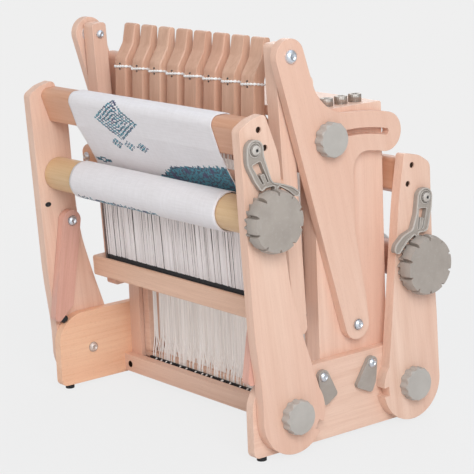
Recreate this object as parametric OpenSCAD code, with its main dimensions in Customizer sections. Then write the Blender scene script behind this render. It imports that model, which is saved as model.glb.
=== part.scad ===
// Folding table loom with eight shafts, folded for carrying.
// Millimetres, +Z up, +X to the side with the ratchet wheels, -Y to the weaver.
// The side outlines are drawn as [Y, Z, corner radius] in the loom's own plane, whose
// Y is 0 at the front of the levers, and place() moves them to the part's origin.

/* [Frame] */
// Clear width between the two base boards
frame_gap = 382; // [340:1:420]
// Thickness of the base boards and of the struts and plates in their layer
board_t = 12; // [10:0.5:15]
// Thickness of the folding posts
post_t = 13.5; // [11:0.5:16]
// Gap between layers of wood that turn past each other
layer_gap = 0.4; // [0.3:0.05:0.6]
// Gap round a shaft or bolt that turns in its bore
bore_fit = 0.05; // [0.02:0.01:0.09]

/* [Base] */
// Front end of the base boards
base_front = -71.5; // [-78:0.5:-66]
// Length of the base boards
base_len = 270; // [262:1:280]
// Height of the boards' top edge above the table
base_top = 98; // [90:1:104]
// Round of the boards' upper corners
base_round = 38; // [20:1:42]
// Height of the rubber feet
foot_h = 5; // [3:0.5:8]
// Diameter of the rubber feet
foot_d = 11.5; // [8:0.5:12]
// Distance of each foot from the end of its board
foot_inset = 15; // [13:1:20]
// Thickness of the cross rails
rail_t = 12; // [8:0.5:14]
// Height of the cross rails
rail_h = 22; // [18:1:28]

/* [Castle] */
// Thickness of the castle sides
castle_t = 22; // [18:0.5:24]
// Front face of the castle sides
castle_front = 39.5; // [39:0.5:41]
// Depth of the castle from front to back
castle_depth = 104.5; // [103:0.5:108]
// Height of the castle's top above the table
castle_top_z = 387; // [384:1:392]
// Thickness of the castle's top board
top_t = 12; // [9:0.5:13]
// Height of the horn that carries the lever rod
horn_top = 429; // [420:1:436]
// Front edge of the horn
horn_front = 22.5; // [22:0.5:24]
// Width of the horn from front to back
horn_w = 20; // [18:0.5:24]
// Diameter of the cord guides on the castle
guide_d = 15; // [12:0.5:17]
// Height of the cord guides
guide_h = 9; // [8:0.5:14]
// Distance from one cord guide to the next
guide_pitch = 21.6; // [18:0.2:24]

/* [Levers] */
// Number of levers and shafts
shafts_n = 8; // [8:1:8]
// Distance from one lever to the next
lever_pitch = 36; // [32:0.5:38]
// Width of a lever
lever_w = 23; // [16:0.5:26]
// Height of a lever's tip above the table
lever_tip = 469; // [462:1:480]
// Thickness of a lever's finger grip
lever_grip_t = 9; // [7:0.5:11]
// Diameter of the rod on which the levers turn
rod_d = 8; // [6:0.5:9]

/* [Shafts] */
// Distance from one shaft to the next
shaft_pitch = 12; // [11.5:0.1:12.2]
// Thickness of a shaft frame
shaft_t = 7.6; // [6:0.2:8.4]
// Height of the upper and lower bars of a shaft
shaft_bar_h = 17; // [12:0.5:20]
// Lower edge of the shafts at rest
shaft_low = 27; // [25:0.5:33]
// Upper edge of the shafts at rest
shaft_high = 330; // [320:1:333]
// Depth of the grooves that guide the shafts
groove_depth = 4; // [3:0.5:6]
// Room round a shaft in its groove
groove_fit = 0.4; // [0.3:0.1:0.6]
// Width of one bundle of heddles
heddle_w = 12; // [8:0.5:16]
// Number of heddle bundles on a shaft
heddles_n = 13; // [9:1:15]

/* [Beater] */
// Swing of the beater plates from folded to working place, in degrees
plate_swing = 22; // [20:0.5:23]
// Radius of the round top of the plates
plate_top_r = 20; // [18:0.5:22]
// Width of the slot in the plates
slot_w = 7.4; // [7.2:0.1:9]
// Width of the slotted arm of the plates
slot_arm_w = 46; // [38:1:50]
// Width of the swing arms along the loom's width
arm_w = 20; // [16:0.5:20.5]
// Depth of the swing arms
arm_d = 20.5; // [18:0.5:24]
// Length of the swing arms below their pivot
arm_len = 324; // [320:1:332]
// Lean of the hanging beater, in degrees
beater_lean = 2.5; // [1.6:0.1:3]
// Thickness of the beater rails
beater_rail_t = 19; // [16:0.5:20]
// Height of the upper beater rail
rail_upper_h = 36; // [30:1:40]
// Height of the lower beater rail
rail_lower_h = 26; // [22:1:30]
// Length of the reed
reed_w = 332; // [300:1:344]
// Height of the reed
reed_h = 122; // [118:1:125]
// Thickness of the reed's edge bands
reed_t = 8; // [6:0.5:10]
// Number of dent bundles in the reed
dents_n = 41; // [31:1:51]

/* [Folding frames] */
// Radius of the round foot of the posts
disc_r = 45; // [42:0.5:46]
// Width of the front beam's top from front to back
beam_d = 30; // [28:0.5:32]
// Height of the beams' inner faces
beam_h = 35.5; // [34:0.5:38]
// Length of a strut's inner edge below its pivot
strut_len = 109; // [105:0.5:112]
// Width of the struts
strut_w = 26.5; // [22:0.5:28]
// Depth of the notch in the round foot
notch_d = 8; // [6:0.5:10]
// Width of the notch in the round foot
notch_w = 11; // [9:0.5:13]

/* [Rollers] */
// Diameter of the wooden rollers
roller_d = 42; // [36:0.5:44]
// Diameter of the roller axles
axle_d = 12; // [9:0.5:14]
// Diameter of the cloth wound on the front roller
cloth_roll_d = 48; // [46:0.5:53]
// Diameter of the warp wound on the back roller
warp_roll_d = 54; // [46:0.5:58]
// Left edge of the cloth
cloth_left = -140; // [-150:1:-110]
// Right edge of the cloth
cloth_right = 146; // [130:1:165]
// Thickness of the cloth
cloth_t = 1.2; // [0.8:0.1:1.6]
// Diameter of the hand grips on the ratchets
grip_d = 72; // [68:0.5:72.5]
// Thickness of the hand grips
grip_t = 13.5; // [11:0.5:16]
// Thickness of the ratchet wheels and pawls
ratchet_t = 7; // [5:0.5:9]
// Radius over the ratchet teeth
ratchet_r = 34; // [33.5:0.1:34.4]
// Number of ratchet teeth
teeth_n = 24; // [24:1:24]

/* [Hardware] */
// Diameter of the clamp knobs
knob_d = 41; // [34:0.5:42]
// Thickness of the clamp knobs
knob_t = 12; // [10:0.5:16]
// Diameter of the clamp bolts and pivot bolts
bolt_d = 7; // [6:0.1:7]
// Diameter of the bolt heads
bolt_head_d = 13; // [10:0.5:14]
// Height of the bolt heads
bolt_head_h = 3.6; // [2.5:0.1:4.5]
// Thickness of the corner catches
catch_t = 5; // [3:0.5:7]
// Diameter of the wood screws
screw_d = 7; // [5:0.5:8]

/* [Hidden] */
$fn = 48;
arc_step = 7.5;

wood = [0.86, 0.72, 0.54];
steel = [0.75, 0.76, 0.78];
taupe = [0.64, 0.6, 0.56];
black = [0.1, 0.1, 0.11];
white = [0.93, 0.93, 0.9];

// Layers of wood on one side, from the middle outwards
board_in = frame_gap / 2;
board_out = board_in + board_t;
castle_in = board_in - castle_t;
plate_in = board_in + layer_gap;
post_in = board_out + layer_gap;
post_out = post_in + post_t;
arm_gap = 2.6;
arm_out = board_in - arm_gap;
arm_in = arm_out - arm_w;
wheel_in = post_out + layer_gap;

// Pivots and axes as [Y, Z]
front_pivot = [-21.5, 49];
rear_pivot = [160.5, 48.5];
plate_pivot = [89, 132];
beater_pivot = [0.7, 454.5];
rod_at = [31, 352];
strut_pivot = [-42, 220];
front_roller = [-50.5, 281];
rear_roller = [174, 192];
pawl_from_roller = [-20, 81.5];
rear_pawl_from_roller = [7, 79.5];
front_catch_at = [30, 82];
rear_catch_at = [105, 83];

// Origin: middle of the part's box, at the table
mid_x = (wheel_in + ratchet_t + grip_t - (post_out + layer_gap + knob_t)) / 2;
mid_y = (front_roller[0] + rear_roller[0]) / 2;

castle_back = castle_front + castle_depth;
castle_z0 = foot_h + 1;
base_back = base_front + base_len;
rail_z0 = foot_h + 2.5;
rod_r = rod_d / 2;
bolt_r = bolt_d / 2;
axle_r = axle_d / 2;
plate_t = board_t - 2 * layer_gap;
slot_r = 226.4;
knob_angle = -9.4;
slot_slack = 0.7;
slot_step = 1.5;
plate_knob_at = plate_pivot + slot_r * [sin(knob_angle), cos(knob_angle)];
bolt_from = castle_in + groove_depth + 1;
shaft_first = castle_front + (castle_depth - (shafts_n - 1) * shaft_pitch) / 2;
shaft_half = castle_in + groove_depth - groove_fit;
beam_top = 391.5;
front_beam_y = -73;
rear_beam_y = 181.3;
rear_beam_top = 318;
rear_beam_d = 24.5;
cloth_gap = 0.3;
blind = 3;

// Unit vector, and the point at an angle on a circle
function unit(v) = v / norm(v);
function polar(r, a) = r * [cos(a), sin(a)];

// Points of an arc
function arc(c, r, a0, a1, step = arc_step) =
    let (n = max(1, ceil(abs(a1 - a0) / step)))
    [for (i = [0:n]) c + polar(r, a0 + (a1 - a0) * i / n)];

// Arc that rounds the corner b between a and c
function fillet(a, b, c, r) =
    let (
        u = unit(a - b),
        w = unit(c - b),
        half = acos(u * w) / 2,
        m = b + unit(u + w) * r / sin(half),
        p = b + u * r / tan(half) - m,
        q = b + w * r / tan(half) - m,
        a0 = atan2(p[1], p[0]),
        turn = (atan2(q[1], q[0]) - a0 + 540) % 360 - 180
    )
    arc(m, r, a0, a0 + turn);

// Closed outline with rounded corners, from points [y, z, radius]
function rounded(p) =
    let (n = len(p))
    [for (i = [0:n - 1])
        let (
            b = [p[i][0], p[i][1]],
            a = [p[(i + n - 1) % n][0], p[(i + n - 1) % n][1]],
            c = [p[(i + 1) % n][0], p[(i + 1) % n][1]]
        )
        each (p[i][2] > 0 ? fillet(a, b, c, p[i][2]) : [b])];

// Outline of a strip of one thickness along a path, with mitred bends
function strip(p, t) =
    let (
        n = len(p),
        side = [for (i = [0:n - 1])
            let (
                d = unit(p[max(i, 1)] - p[max(i, 1) - 1]),
                e = unit(p[min(i + 1, n - 1)] - p[min(i, n - 2)]),
                m = [-d[1] - e[1], d[0] + e[0]] / (1 + d * e)
            )
            m * t / 2]
    )
    concat(
        [for (i = [0:n - 1]) p[i] + side[i]],
        [for (i = [n - 1:-1:0]) p[i] - side[i]]
    );

// Outline of a wheel with round lobes
function lobes(r, depth, n) =
    [for (i = [0:n * 10 - 1]) polar(r - depth * (1 - cos(i * 36)) / 2, i * 36 / n)];

// Outline of a wheel with broad cogs
function cogs(r, depth, n) =
    [for (i = [0:n - 1], p = [
        [-0.46, depth], [-0.4, 1], [-0.3, 0], [0, 0], [0.3, 0], [0.4, 1], [0.46, depth]
    ]) polar(r - p[1], (i + p[0]) * 360 / n)];

// Everything is drawn in the loom's plane and moved to the origin
module place() {
    translate([-mid_x, -mid_y, 0]) children();
}

// A [Y, Z] outline made solid from x0 to x1
module slab(x0, x1) {
    translate([x0, 0, 0]) rotate([90, 0, 90]) linear_extrude(x1 - x0) children();
}

// A round pin or bore along X
module pin(at, r, x0, x1) {
    translate([x0, at[0], at[1]]) rotate([0, 90, 0]) cylinder(r = r, h = x1 - x0);
}

// A cone along X, with radius r0 at x0 and r1 at its face
module bevel(at, r0, r1, x0, h) {
    translate([x0, at[0], at[1]]) rotate([0, 90, 0]) cylinder(r1 = r0, r2 = r1, h = h);
}

// The right side as drawn, or its mirror image on the left
module on_side(side) {
    if (side > 0) {
        children();
    } else {
        mirror([1, 0, 0]) children();
    }
}

module both_sides() {
    on_side(1) children();
    on_side(-1) children();
}

// A domed bolt head on a face at x0, looking outwards or inwards
module bolt_head(at, d, h, x0, outwards) {
    translate([x0, at[0], at[1]]) rotate([0, outwards ? 90 : -90, 0])
        rotate_extrude() polygon(concat(
            [[0, 0], [d / 2, 0], [d / 2, h * 0.35]],
            [for (a = [15:15:90]) [d / 2 * cos(a), h * (0.35 + 0.65 * sin(a))]]
        ));
}

// Base boards
module base_side(side) {
    color(wood) place() on_side(side) difference() {
        slab(board_in, board_out) polygon(rounded([
            [base_front, foot_h, 8],
            [base_back, foot_h, 8],
            [base_back, base_top, base_round],
            [base_front, base_top, base_round]
        ]));
        pin(front_pivot, bolt_r + bore_fit, board_in - 1, board_out + 1);
        pin(rear_pivot, bolt_r + bore_fit, board_in - 1, board_out + 1);
        pin(front_catch_at, bolt_r, board_in + blind, board_out + 1);
        pin(rear_catch_at, bolt_r, board_in + blind, board_out + 1);
    }
}

module base_side_left() {
    base_side(-1);
}

module base_side_right() {
    base_side(1);
}

// Cross rails before and behind the castle, with their screw holes
rail_screw_x = board_in - 12;
rail_screw_z = rail_z0 + 10;

module rail_screw_hole(y0, y1, r) {
    translate([rail_screw_x, y0, rail_screw_z]) rotate([-90, 0, 0])
        cylinder(r = r, h = y1 - y0);
}

module base_rails() {
    color(wood) place() difference() {
        union() {
            translate([-board_in, castle_front - rail_t, rail_z0])
                cube([2 * board_in, rail_t, rail_h]);
            translate([-board_in, castle_back, rail_z0])
                cube([2 * board_in, rail_t, rail_h]);
        }
        both_sides() {
            rail_screw_hole(castle_front - rail_t - 1, castle_front + 1, screw_d / 2 + bore_fit);
            rail_screw_hole(castle_back - 1, castle_back + rail_t + 1, screw_d / 2 + bore_fit);
        }
    }
}

module rubber_feet() {
    color(black) place() both_sides() {
        for (y = [base_front + foot_inset, base_back - foot_inset])
            translate([board_in + board_t / 2, y, 0]) cylinder(d = foot_d, h = foot_h);
    }
}

// Bolts on which the beater plates turn, and the screws of the cross rails
rail_screw_depth = 12;
rail_screw_sunk = 3;

module base_bolts() {
    color(steel) place() both_sides() {
        pin(plate_pivot, bolt_r, bolt_from, board_out + layer_gap);
        bolt_head(plate_pivot, bolt_head_d, bolt_head_h, board_out + layer_gap, true);
        rail_screw_hole(castle_front - rail_t + rail_screw_sunk,
            castle_front + rail_screw_depth, screw_d / 2);
        rail_screw_hole(castle_back - rail_screw_depth,
            castle_back + rail_t - rail_screw_sunk, screw_d / 2);
    }
}

// Castle sides with their horns, bores and shaft grooves
module castle_side(side) {
    color(wood) place() on_side(side) difference() {
        slab(castle_in, board_in) polygon(rounded([
            [castle_front, castle_z0, 2],
            [castle_back, castle_z0, 2],
            [castle_back, castle_top_z, 3],
            [horn_front + horn_w, castle_top_z, 6],
            [horn_front + horn_w, horn_top, horn_w / 2 - 1],
            [horn_front, horn_top, horn_w / 2 - 1],
            [horn_front, 334, 5],
            [castle_front, 322, 8]
        ]));
        for (i = [0:shafts_n - 1])
            translate([castle_in - 1, shaft_first + i * shaft_pitch - shaft_t / 2 - groove_fit,
                shaft_low - layer_gap])
                cube([groove_depth + 1, shaft_t + 2 * groove_fit,
                    castle_top_z - top_t - shaft_low + layer_gap]);
        pin(rod_at, rod_r + bore_fit, castle_in - 1, board_in + 1);
        pin(plate_pivot, bolt_r + bore_fit, castle_in - 1, board_in + 1);
        pin(plate_knob_at, bolt_r + bore_fit, castle_in - 1, board_in + 1);
        rail_screw_hole(castle_front - 1, castle_front + rail_screw_depth + 1,
            screw_d / 2 + bore_fit);
        rail_screw_hole(castle_back - rail_screw_depth - 1, castle_back + 1,
            screw_d / 2 + bore_fit);
    }
}

module castle_side_left() {
    castle_side(-1);
}

module castle_side_right() {
    castle_side(1);
}

module castle_top() {
    color(wood) place() translate([-castle_in, castle_front, castle_top_z - top_t])
        cube([2 * castle_in, castle_depth, top_t]);
}

module lever_rod() {
    color(steel) place() pin(rod_at, rod_r, -board_in + 2, board_in - 2);
}

// Cord guides on the castle, three on each side behind the horn, each with a hole
guides_n = 3;
guide_x = castle_in + 3;
guide_first = castle_front + 38;
guide_hole = 3;
guide_dip = 1;

module cord_guides() {
    color(taupe) place() both_sides() {
        for (i = [0:guides_n - 1])
            translate([guide_x, guide_first + i * guide_pitch, castle_top_z])
                rotate_extrude() polygon([
                    [guide_hole, 0], [guide_d / 2, 0], [guide_d / 2, guide_h * 0.4],
                    [guide_d / 2 - guide_dip, guide_h * 0.55], [guide_d / 2, guide_h * 0.7],
                    [guide_d / 2, guide_h], [guide_hole, guide_h]
                ]);
    }
}

// Levers, with the outline of one side view
lever_hub_r = 11;
lever_foot = [-5, 343];
lever_front = [0.3, 427];
lever_tip_y = 17;

module lever(i) {
    x0 = (i - (shafts_n + 1) / 2) * lever_pitch - lever_w / 2;
    color(wood) place() difference() {
        union() {
            slab(x0, x0 + lever_w) polygon(rounded([
                [rod_at[0], rod_at[1] - lever_hub_r, 0],
                [lever_foot[0], lever_foot[1], 5],
                [lever_front[0], lever_front[1], 10],
                [lever_front[0] + 12, lever_front[1] + 19, 12],
                [lever_tip_y, lever_tip, 3.5],
                [lever_tip_y + lever_grip_t, lever_tip, 3.5],
                [lever_tip_y + lever_grip_t - 1, lever_front[1] + 13, 16],
                [lever_front[0] + 15.2, lever_front[1] - 5, 16],
                [lever_front[0] + 14.2, lever_front[1] - 47, 12],
                [rod_at[0] + 6, rod_at[1] + 9, 0]
            ]));
            pin(rod_at, lever_hub_r, x0, x0 + lever_w);
        }
        pin(rod_at, rod_r + bore_fit, x0 - 1, x0 + lever_w + 1);
    }
}

module lever_1() { lever(1); }
module lever_2() { lever(2); }
module lever_3() { lever(3); }
module lever_4() { lever(4); }
module lever_5() { lever(5); }
module lever_6() { lever(6); }
module lever_7() { lever(7); }
module lever_8() { lever(8); }

// Shafts: a wooden frame that slides in the castle's grooves, with its heddles
shaft_stick = 15.5;
shaft_foot_h = 8;
heddle_t = 1;

module shaft(i) {
    y = shaft_first + (i - 1) * shaft_pitch;
    span = 2 * (shaft_half - shaft_stick);
    step = span / heddles_n;
    heddle_z0 = shaft_low + shaft_foot_h;
    heddle_len = shaft_high - shaft_bar_h - heddle_z0;
    color(wood) place() {
        translate([-shaft_half, y - shaft_t / 2, shaft_low])
            cube([2 * shaft_half, shaft_t, shaft_foot_h]);
        translate([-shaft_half, y - shaft_t / 2, shaft_high - shaft_bar_h])
            cube([2 * shaft_half, shaft_t, shaft_bar_h]);
        for (x = [-shaft_half, shaft_half - shaft_stick])
            translate([x, y - shaft_t / 2, heddle_z0])
                cube([shaft_stick, shaft_t, heddle_len]);
        for (k = [0:heddles_n - 1])
            translate([-span / 2 + (k + 0.5) * step - heddle_w / 2, y - heddle_t / 2,
                heddle_z0])
                cube([heddle_w, heddle_t, heddle_len]);
    }
}

module shaft_1() { shaft(1); }
module shaft_2() { shaft(2); }
module shaft_3() { shaft(3); }
module shaft_4() { shaft(4); }
module shaft_5() { shaft(5); }
module shaft_6() { shaft(6); }
module shaft_7() { shaft(7); }
module shaft_8() { shaft(8); }

// Beater plates: a broad leg with a round top, and a slotted arm about the pivot
plate_foot_r = 18;
slot_from = knob_angle - slot_slack;
slot_to = knob_angle + plate_swing + slot_slack;

// Point of the slotted arm at a radius and an angle from upright
function arm_point(r, a) = plate_pivot + r * [sin(a), cos(a)];

module plate_outline() {
    inner = slot_r - slot_arm_w / 2;
    outer = slot_r + slot_arm_w / 2;
    down = unit(plate_pivot - beater_pivot);
    ahead = [down[1], -down[0]];
    polygon(rounded(concat(
        [
            concat(beater_pivot + plate_top_r * ahead, 0),
            concat(plate_pivot + plate_foot_r * ahead, 0),
            concat(plate_pivot - plate_foot_r * ahead, 0),
            [104, 160, 40],
            [88.7, 246, 60],
            [89.5, plate_pivot[1] + inner, 20]
        ],
        [for (a = [8, 11]) concat(arm_point(inner, a), 0)],
        [for (p = arc(arm_point(slot_r, slot_to), slot_arm_w / 2, -90 - slot_to, 90 - slot_to))
            concat(p, 0)],
        [for (a = [9, 5, 1]) concat(arm_point(outer, a), 0)],
        [
            [43.5, 382.7, 56],
            concat(beater_pivot - plate_top_r * ahead, 0)
        ]
    )));
    translate(beater_pivot) circle(r = plate_top_r);
    translate(plate_pivot) circle(r = plate_foot_r);
}

module beater_plate(side) {
    color(wood) place() on_side(side) difference() {
        slab(plate_in, plate_in + plate_t) plate_outline();
        slab(plate_in - 1, plate_in + plate_t + 1) polygon(concat(
            arc(plate_pivot, slot_r + slot_w / 2, 90 - slot_from, 90 - slot_to, slot_step),
            arc(plate_pivot, slot_r - slot_w / 2, 90 - slot_to, 90 - slot_from, slot_step)
        ));
        for (a = [slot_from, slot_to])
            pin(arm_point(slot_r, a), slot_w / 2,
                plate_in - 1, plate_in + plate_t + 1);
        pin(plate_pivot, bolt_r + bore_fit, plate_in - 1, plate_in + plate_t + 1);
        pin(beater_pivot, bolt_r + bore_fit, plate_in - 1, plate_in + plate_t + 1);
    }
}

module beater_plate_left() {
    beater_plate(-1);
}

module beater_plate_right() {
    beater_plate(1);
}

// Hinge bolts of the swing arms, with a spacer between arm and plate
spacer_r = 11;

module hinge_bolts() {
    color(steel) place() both_sides() {
        pin(beater_pivot, bolt_r, arm_in - layer_gap, plate_in + plate_t);
        pin(beater_pivot, spacer_r, arm_out + layer_gap, plate_in);
        bolt_head(beater_pivot, bolt_head_d + 1, bolt_head_h + 1, plate_in + plate_t, true);
        bolt_head(beater_pivot, bolt_head_d - 3, bolt_head_h - 0.6, arm_in - layer_gap, false);
    }
}

// The beater hangs from its pivot and leans a little. It is drawn upright, with Y
// and Z measured from the pivot.
arm_head = 14;
rail_front = -arm_d / 2 - beater_rail_t;
rail_lower_z = -309;
rail_upper_z = -174.5;
reed_z0 = rail_lower_z + rail_lower_h - 5;
reed_y = -arm_d / 2 - beater_rail_t / 2;

module hanging() {
    place() translate([0, beater_pivot[0], beater_pivot[1]]) rotate([beater_lean, 0, 0])
        children();
}

module beater_arm(side) {
    color(wood) hanging() on_side(side) difference() {
        slab(arm_in, arm_out) polygon(rounded([
            [-arm_d / 2, -arm_len, 3],
            [arm_d / 2, -arm_len, 8],
            [arm_d / 2, arm_head, 5],
            [-arm_d / 2, arm_head, 5]
        ]));
        pin([0, 0], bolt_r + bore_fit, arm_in - 1, arm_out + 1);
    }
}

// Rubber bumpers on the arms' rear faces, which keep them off the castle
bumper_z = -304;
bumper_r = 5.5;
bumper_h = 4;

module bumpers() {
    color(black) hanging() both_sides() {
        translate([(arm_in + arm_out) / 2, arm_d / 2, bumper_z]) rotate([-90, 0, 0])
            cylinder(r = bumper_r, h = bumper_h);
    }
}

module beater_arm_left() {
    beater_arm(-1);
}

module beater_arm_right() {
    beater_arm(1);
}

module reed_groove(z0, z1) {
    translate([-reed_w / 2 - groove_fit, reed_y - reed_t / 2 - groove_fit, z0])
        cube([reed_w + 2 * groove_fit, reed_t + 2 * groove_fit, z1 - z0]);
}

module beater_rail_lower() {
    color(wood) hanging() difference() {
        slab(-arm_out, arm_out) polygon(rounded([
            [rail_front, rail_lower_z, 3],
            [-arm_d / 2, rail_lower_z, 0],
            [-arm_d / 2, rail_lower_z + rail_lower_h, 0],
            [rail_front, rail_lower_z + rail_lower_h, 3]
        ]));
        reed_groove(reed_z0 - groove_fit, rail_lower_z + rail_lower_h + 1);
    }
}

module beater_rail_upper() {
    color(wood) hanging() difference() {
        slab(-arm_out, arm_out) polygon(rounded([
            [rail_front, rail_upper_z, 3],
            [-arm_d / 2, rail_upper_z, 0],
            [-arm_d / 2, rail_upper_z + rail_upper_h, 0],
            [rail_front, rail_upper_z + rail_upper_h, 9]
        ]));
        reed_groove(rail_upper_z - 1, reed_z0 + reed_h + groove_fit);
        both_sides() translate([arm_in + arm_w / 2, rail_front - 1, rail_bolt_z])
            rotate([-90, 0, 0]) cylinder(r = bolt_r, h = beater_rail_t + 2);
    }
}

// Reed: two edge bands, two end bars and upright dents
reed_band = 12;
reed_end = 5;
dent_w = 1;
dent_d = 5;

module reed() {
    step = (reed_w - 2 * reed_end) / dents_n;
    color(steel) hanging() {
        for (z = [reed_z0, reed_z0 + reed_h - reed_band])
            translate([-reed_w / 2, reed_y - reed_t / 2, z]) cube([reed_w, reed_t, reed_band]);
        for (x = [-reed_w / 2, reed_w / 2 - reed_end])
            translate([x, reed_y - reed_t / 2 + 1, reed_z0 + reed_band])
                cube([reed_end, reed_t - 2, reed_h - 2 * reed_band]);
        for (k = [0:dents_n - 1])
            translate([-reed_w / 2 + reed_end + (k + 0.5) * step - dent_w / 2,
                reed_y - dent_d / 2, reed_z0 + reed_band])
                cube([dent_w, dent_d, reed_h - 2 * reed_band]);
    }
}

rail_bolt_z = rail_upper_z + rail_upper_h * 0.63;

module rail_bolts() {
    color(steel) hanging() both_sides() {
        translate([arm_in + arm_w / 2, rail_front, rail_bolt_z]) {
            rotate([-90, 0, 0]) cylinder(r = bolt_r, h = beater_rail_t);
            rotate([90, 0, 0]) rotate_extrude() polygon([
                [0, 0], [bolt_head_d / 2 - 1, 0], [bolt_head_d / 2 - 1.3, 1.6],
                [bolt_head_d / 2 - 3, 2.9], [0, 3.5]
            ]);
        }
    }
}

// Posts of the two folding frames, each with a round foot and a notch for its catch
module post_blank(outline, pivot, notch_a) {
    difference() {
        union() {
            slab(post_in, post_out) polygon(rounded(outline));
            pin(pivot, disc_r, post_in, post_out);
        }
        slab(post_in - 1, post_out + 1) translate(pivot) rotate(notch_a)
            translate([disc_r - notch_d, -notch_w / 2]) square([notch_d + 10, notch_w]);
    }
}

front_post_outline = [
    concat(front_pivot + polar(disc_r, 184.5), 0),
    [-67.1, 84.2, 200],
    [-75, 149.6, 300],
    [-86.3, 385, 8],
    [-70.5, 394.7, 30],
    [-50, 399.3, 6],
    [-34.4, 357, 40],
    [-30.9, 339.8, 60],
    [-27, 240, 150],
    [-21, 193, 200],
    [-5, 138, 200],
    concat(front_pivot + polar(disc_r, 33), 0),
    [front_pivot[0], front_pivot[1] + 8, 0]
];

front_screws_at = [[-59.2, 382.6], [-51.1, 361.6]];
rear_screws_at = [[166.9, 310.7], [159.9, 289.3]];

module front_post(side) {
    color(wood) place() on_side(side) difference() {
        post_blank(front_post_outline, front_pivot, -28);
        pin(front_pivot, bolt_r + bore_fit, post_in - 1, post_out + 1);
        pin(front_roller, axle_r + bore_fit, post_in - 1, post_out + 1);
        pin(strut_pivot, bolt_r, post_in - 1, post_out - blind);
        for (s = front_screws_at)
            pin(s, screw_d / 2 + bore_fit, post_in - 1, post_out + 1);
        if (side > 0)
            pin(front_roller + pawl_from_roller, pawl_screw_r + bore_fit,
                post_in - 1, post_out + 1);
    }
}

module front_post_left() {
    front_post(-1);
}

module front_post_right() {
    front_post(1);
}

// Section of a beam that leans with its frame: from its outer top corner, way +1 to the
// back for the front beam and -1 to the front for the rear one
beam_back_run = 7;
beam_front_run = 15.5;
beam_drop = 9;

function beam_section(corner, way, d) = [
    [corner[0], corner[1], 10],
    [corner[0] + way * d, corner[1], 6],
    [corner[0] + way * (d + beam_back_run), corner[1] - beam_h, 4],
    [corner[0] + way * beam_front_run, corner[1] - beam_h - beam_drop, 4]
];

front_section = beam_section([front_beam_y, beam_top], 1, beam_d);

module front_beam() {
    color(wood) place() difference() {
        slab(-post_in, post_in) polygon(rounded(front_section));
        beam_screw_holes(front_screws_at);
    }
}

screw_len = 26;
screw_sunk = 2;

module beam_screw_holes(places) {
    both_sides() for (s = places)
        pin(s, screw_d / 2 + bore_fit, post_out - screw_len - 1, post_in + 1);
}

module beam_screws(places) {
    both_sides() for (s = places)
        pin(s, screw_d / 2, post_out - screw_len, post_out - screw_sunk);
}

// Cloth: over the beam, down its leaning front, and to the rear of the cloth roll
cloth_tuck = 16;

// Corner point moved outwards so that both of its sides move by d
function grown(a, b, c, d) =
    let (u = unit(a - b), w = unit(c - b))
    b - unit(u + w) * d / sin(acos(u * w) / 2);

module cloth() {
    near = cloth_gap + cloth_t / 2;
    s = [for (p = front_section) [p[0], p[1]]];
    g = [for (i = [0:3]) grown(s[(i + 3) % 4], s[i], s[(i + 1) % 4], near)];
    low_r = front_section[3][2];
    low = grown(s[2], s[3], s[0], -low_r);
    bend_r = low_r + near;
    roll_r = cloth_roll_d / 2 + near;
    away = front_roller - low;
    turn = atan(away[0] / -away[1]) + asin((bend_r + roll_r) / norm(away));
    face = unit(s[3] - s[0]);
    path = concat(
        [g[1] + unit(g[2] - g[1]) * cloth_tuck],
        fillet(g[2], g[1], g[0], front_section[1][2] + near),
        fillet(g[1], g[0], g[3], front_section[0][2] + near),
        arc(low, bend_r, 180 + atan(face[0] / -face[1]), 180 + turn),
        [front_roller + roll_r * [cos(turn), sin(turn)]]
    );
    color(white) place() slab(cloth_left, cloth_right) polygon(strip(path, cloth_t));
}

// Screws of the front frame, the strut bolts and the pawl's screw
pawl_screw_r = 3;

module pawl_screw(at) {
    pin(at, pawl_screw_r, post_in + 2, wheel_in + ratchet_t);
    bolt_head(at, 4 * pawl_screw_r, 3, wheel_in + ratchet_t, true);
}

module front_screws() {
    color(steel) place() {
        beam_screws(front_screws_at);
        both_sides() {
            pin(strut_pivot, bolt_r, plate_in - layer_gap, post_out - blind);
            bolt_head(strut_pivot, bolt_head_d, bolt_head_h, plate_in - layer_gap, false);
        }
        pawl_screw(front_roller + pawl_from_roller);
    }
}

// Struts: short legs that rest on the base boards when folded and stand on the table
// when the front frame is open
strut_lean = 9.5;
strut_tip_r = 5;
strut_tip_h = 7;
strut_tip_in = 5;
strut_cut = 33;

module strut_place() {
    place() translate([0, strut_pivot[0], strut_pivot[1]]) rotate([-strut_lean, 0, 0])
        children();
}

// Middle of a strut's cut end, with Z square to the cut and pointing out of it
module strut_end() {
    for (side = [-1, 1])
        translate([side * (plate_in + plate_t / 2), 0, -strut_len - strut_cut / 2])
            rotate([-90 - atan(strut_w / strut_cut), 0, 0]) children();
}

module front_struts() {
    r = strut_w / 2;
    color(wood) strut_place() difference() {
        both_sides() slab(plate_in, plate_in + plate_t) {
            circle(r = r);
            polygon(rounded([[-r, 0, 0], [-r, -strut_len - strut_cut, 6], [r, -strut_len, 3],
                [r, 0, 0]]));
        }
        both_sides() pin([0, 0], bolt_r + bore_fit, plate_in - 1, plate_in + plate_t + 1);
        strut_end() translate([0, 0, -strut_tip_in - 1])
            cylinder(r = strut_tip_r - 2, h = strut_tip_in + 2);
    }
}

module strut_tips() {
    color(black) strut_place() strut_end() {
        translate([0, 0, bore_fit]) cylinder(r = strut_tip_r, h = strut_tip_h);
        translate([0, 0, -strut_tip_in])
            cylinder(r = strut_tip_r - 2 - bore_fit, h = strut_tip_in + 1);
    }
}

// Rollers and what is wound on them
module roller(at) {
    color(wood) place() {
        pin(at, roller_d / 2, -post_in + layer_gap, post_in - layer_gap);
        pin(at, axle_r, -post_out - 1, post_in);
        pin(at, axle_r, post_in - 2, wheel_in + ratchet_t + 4);
    }
}

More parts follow.
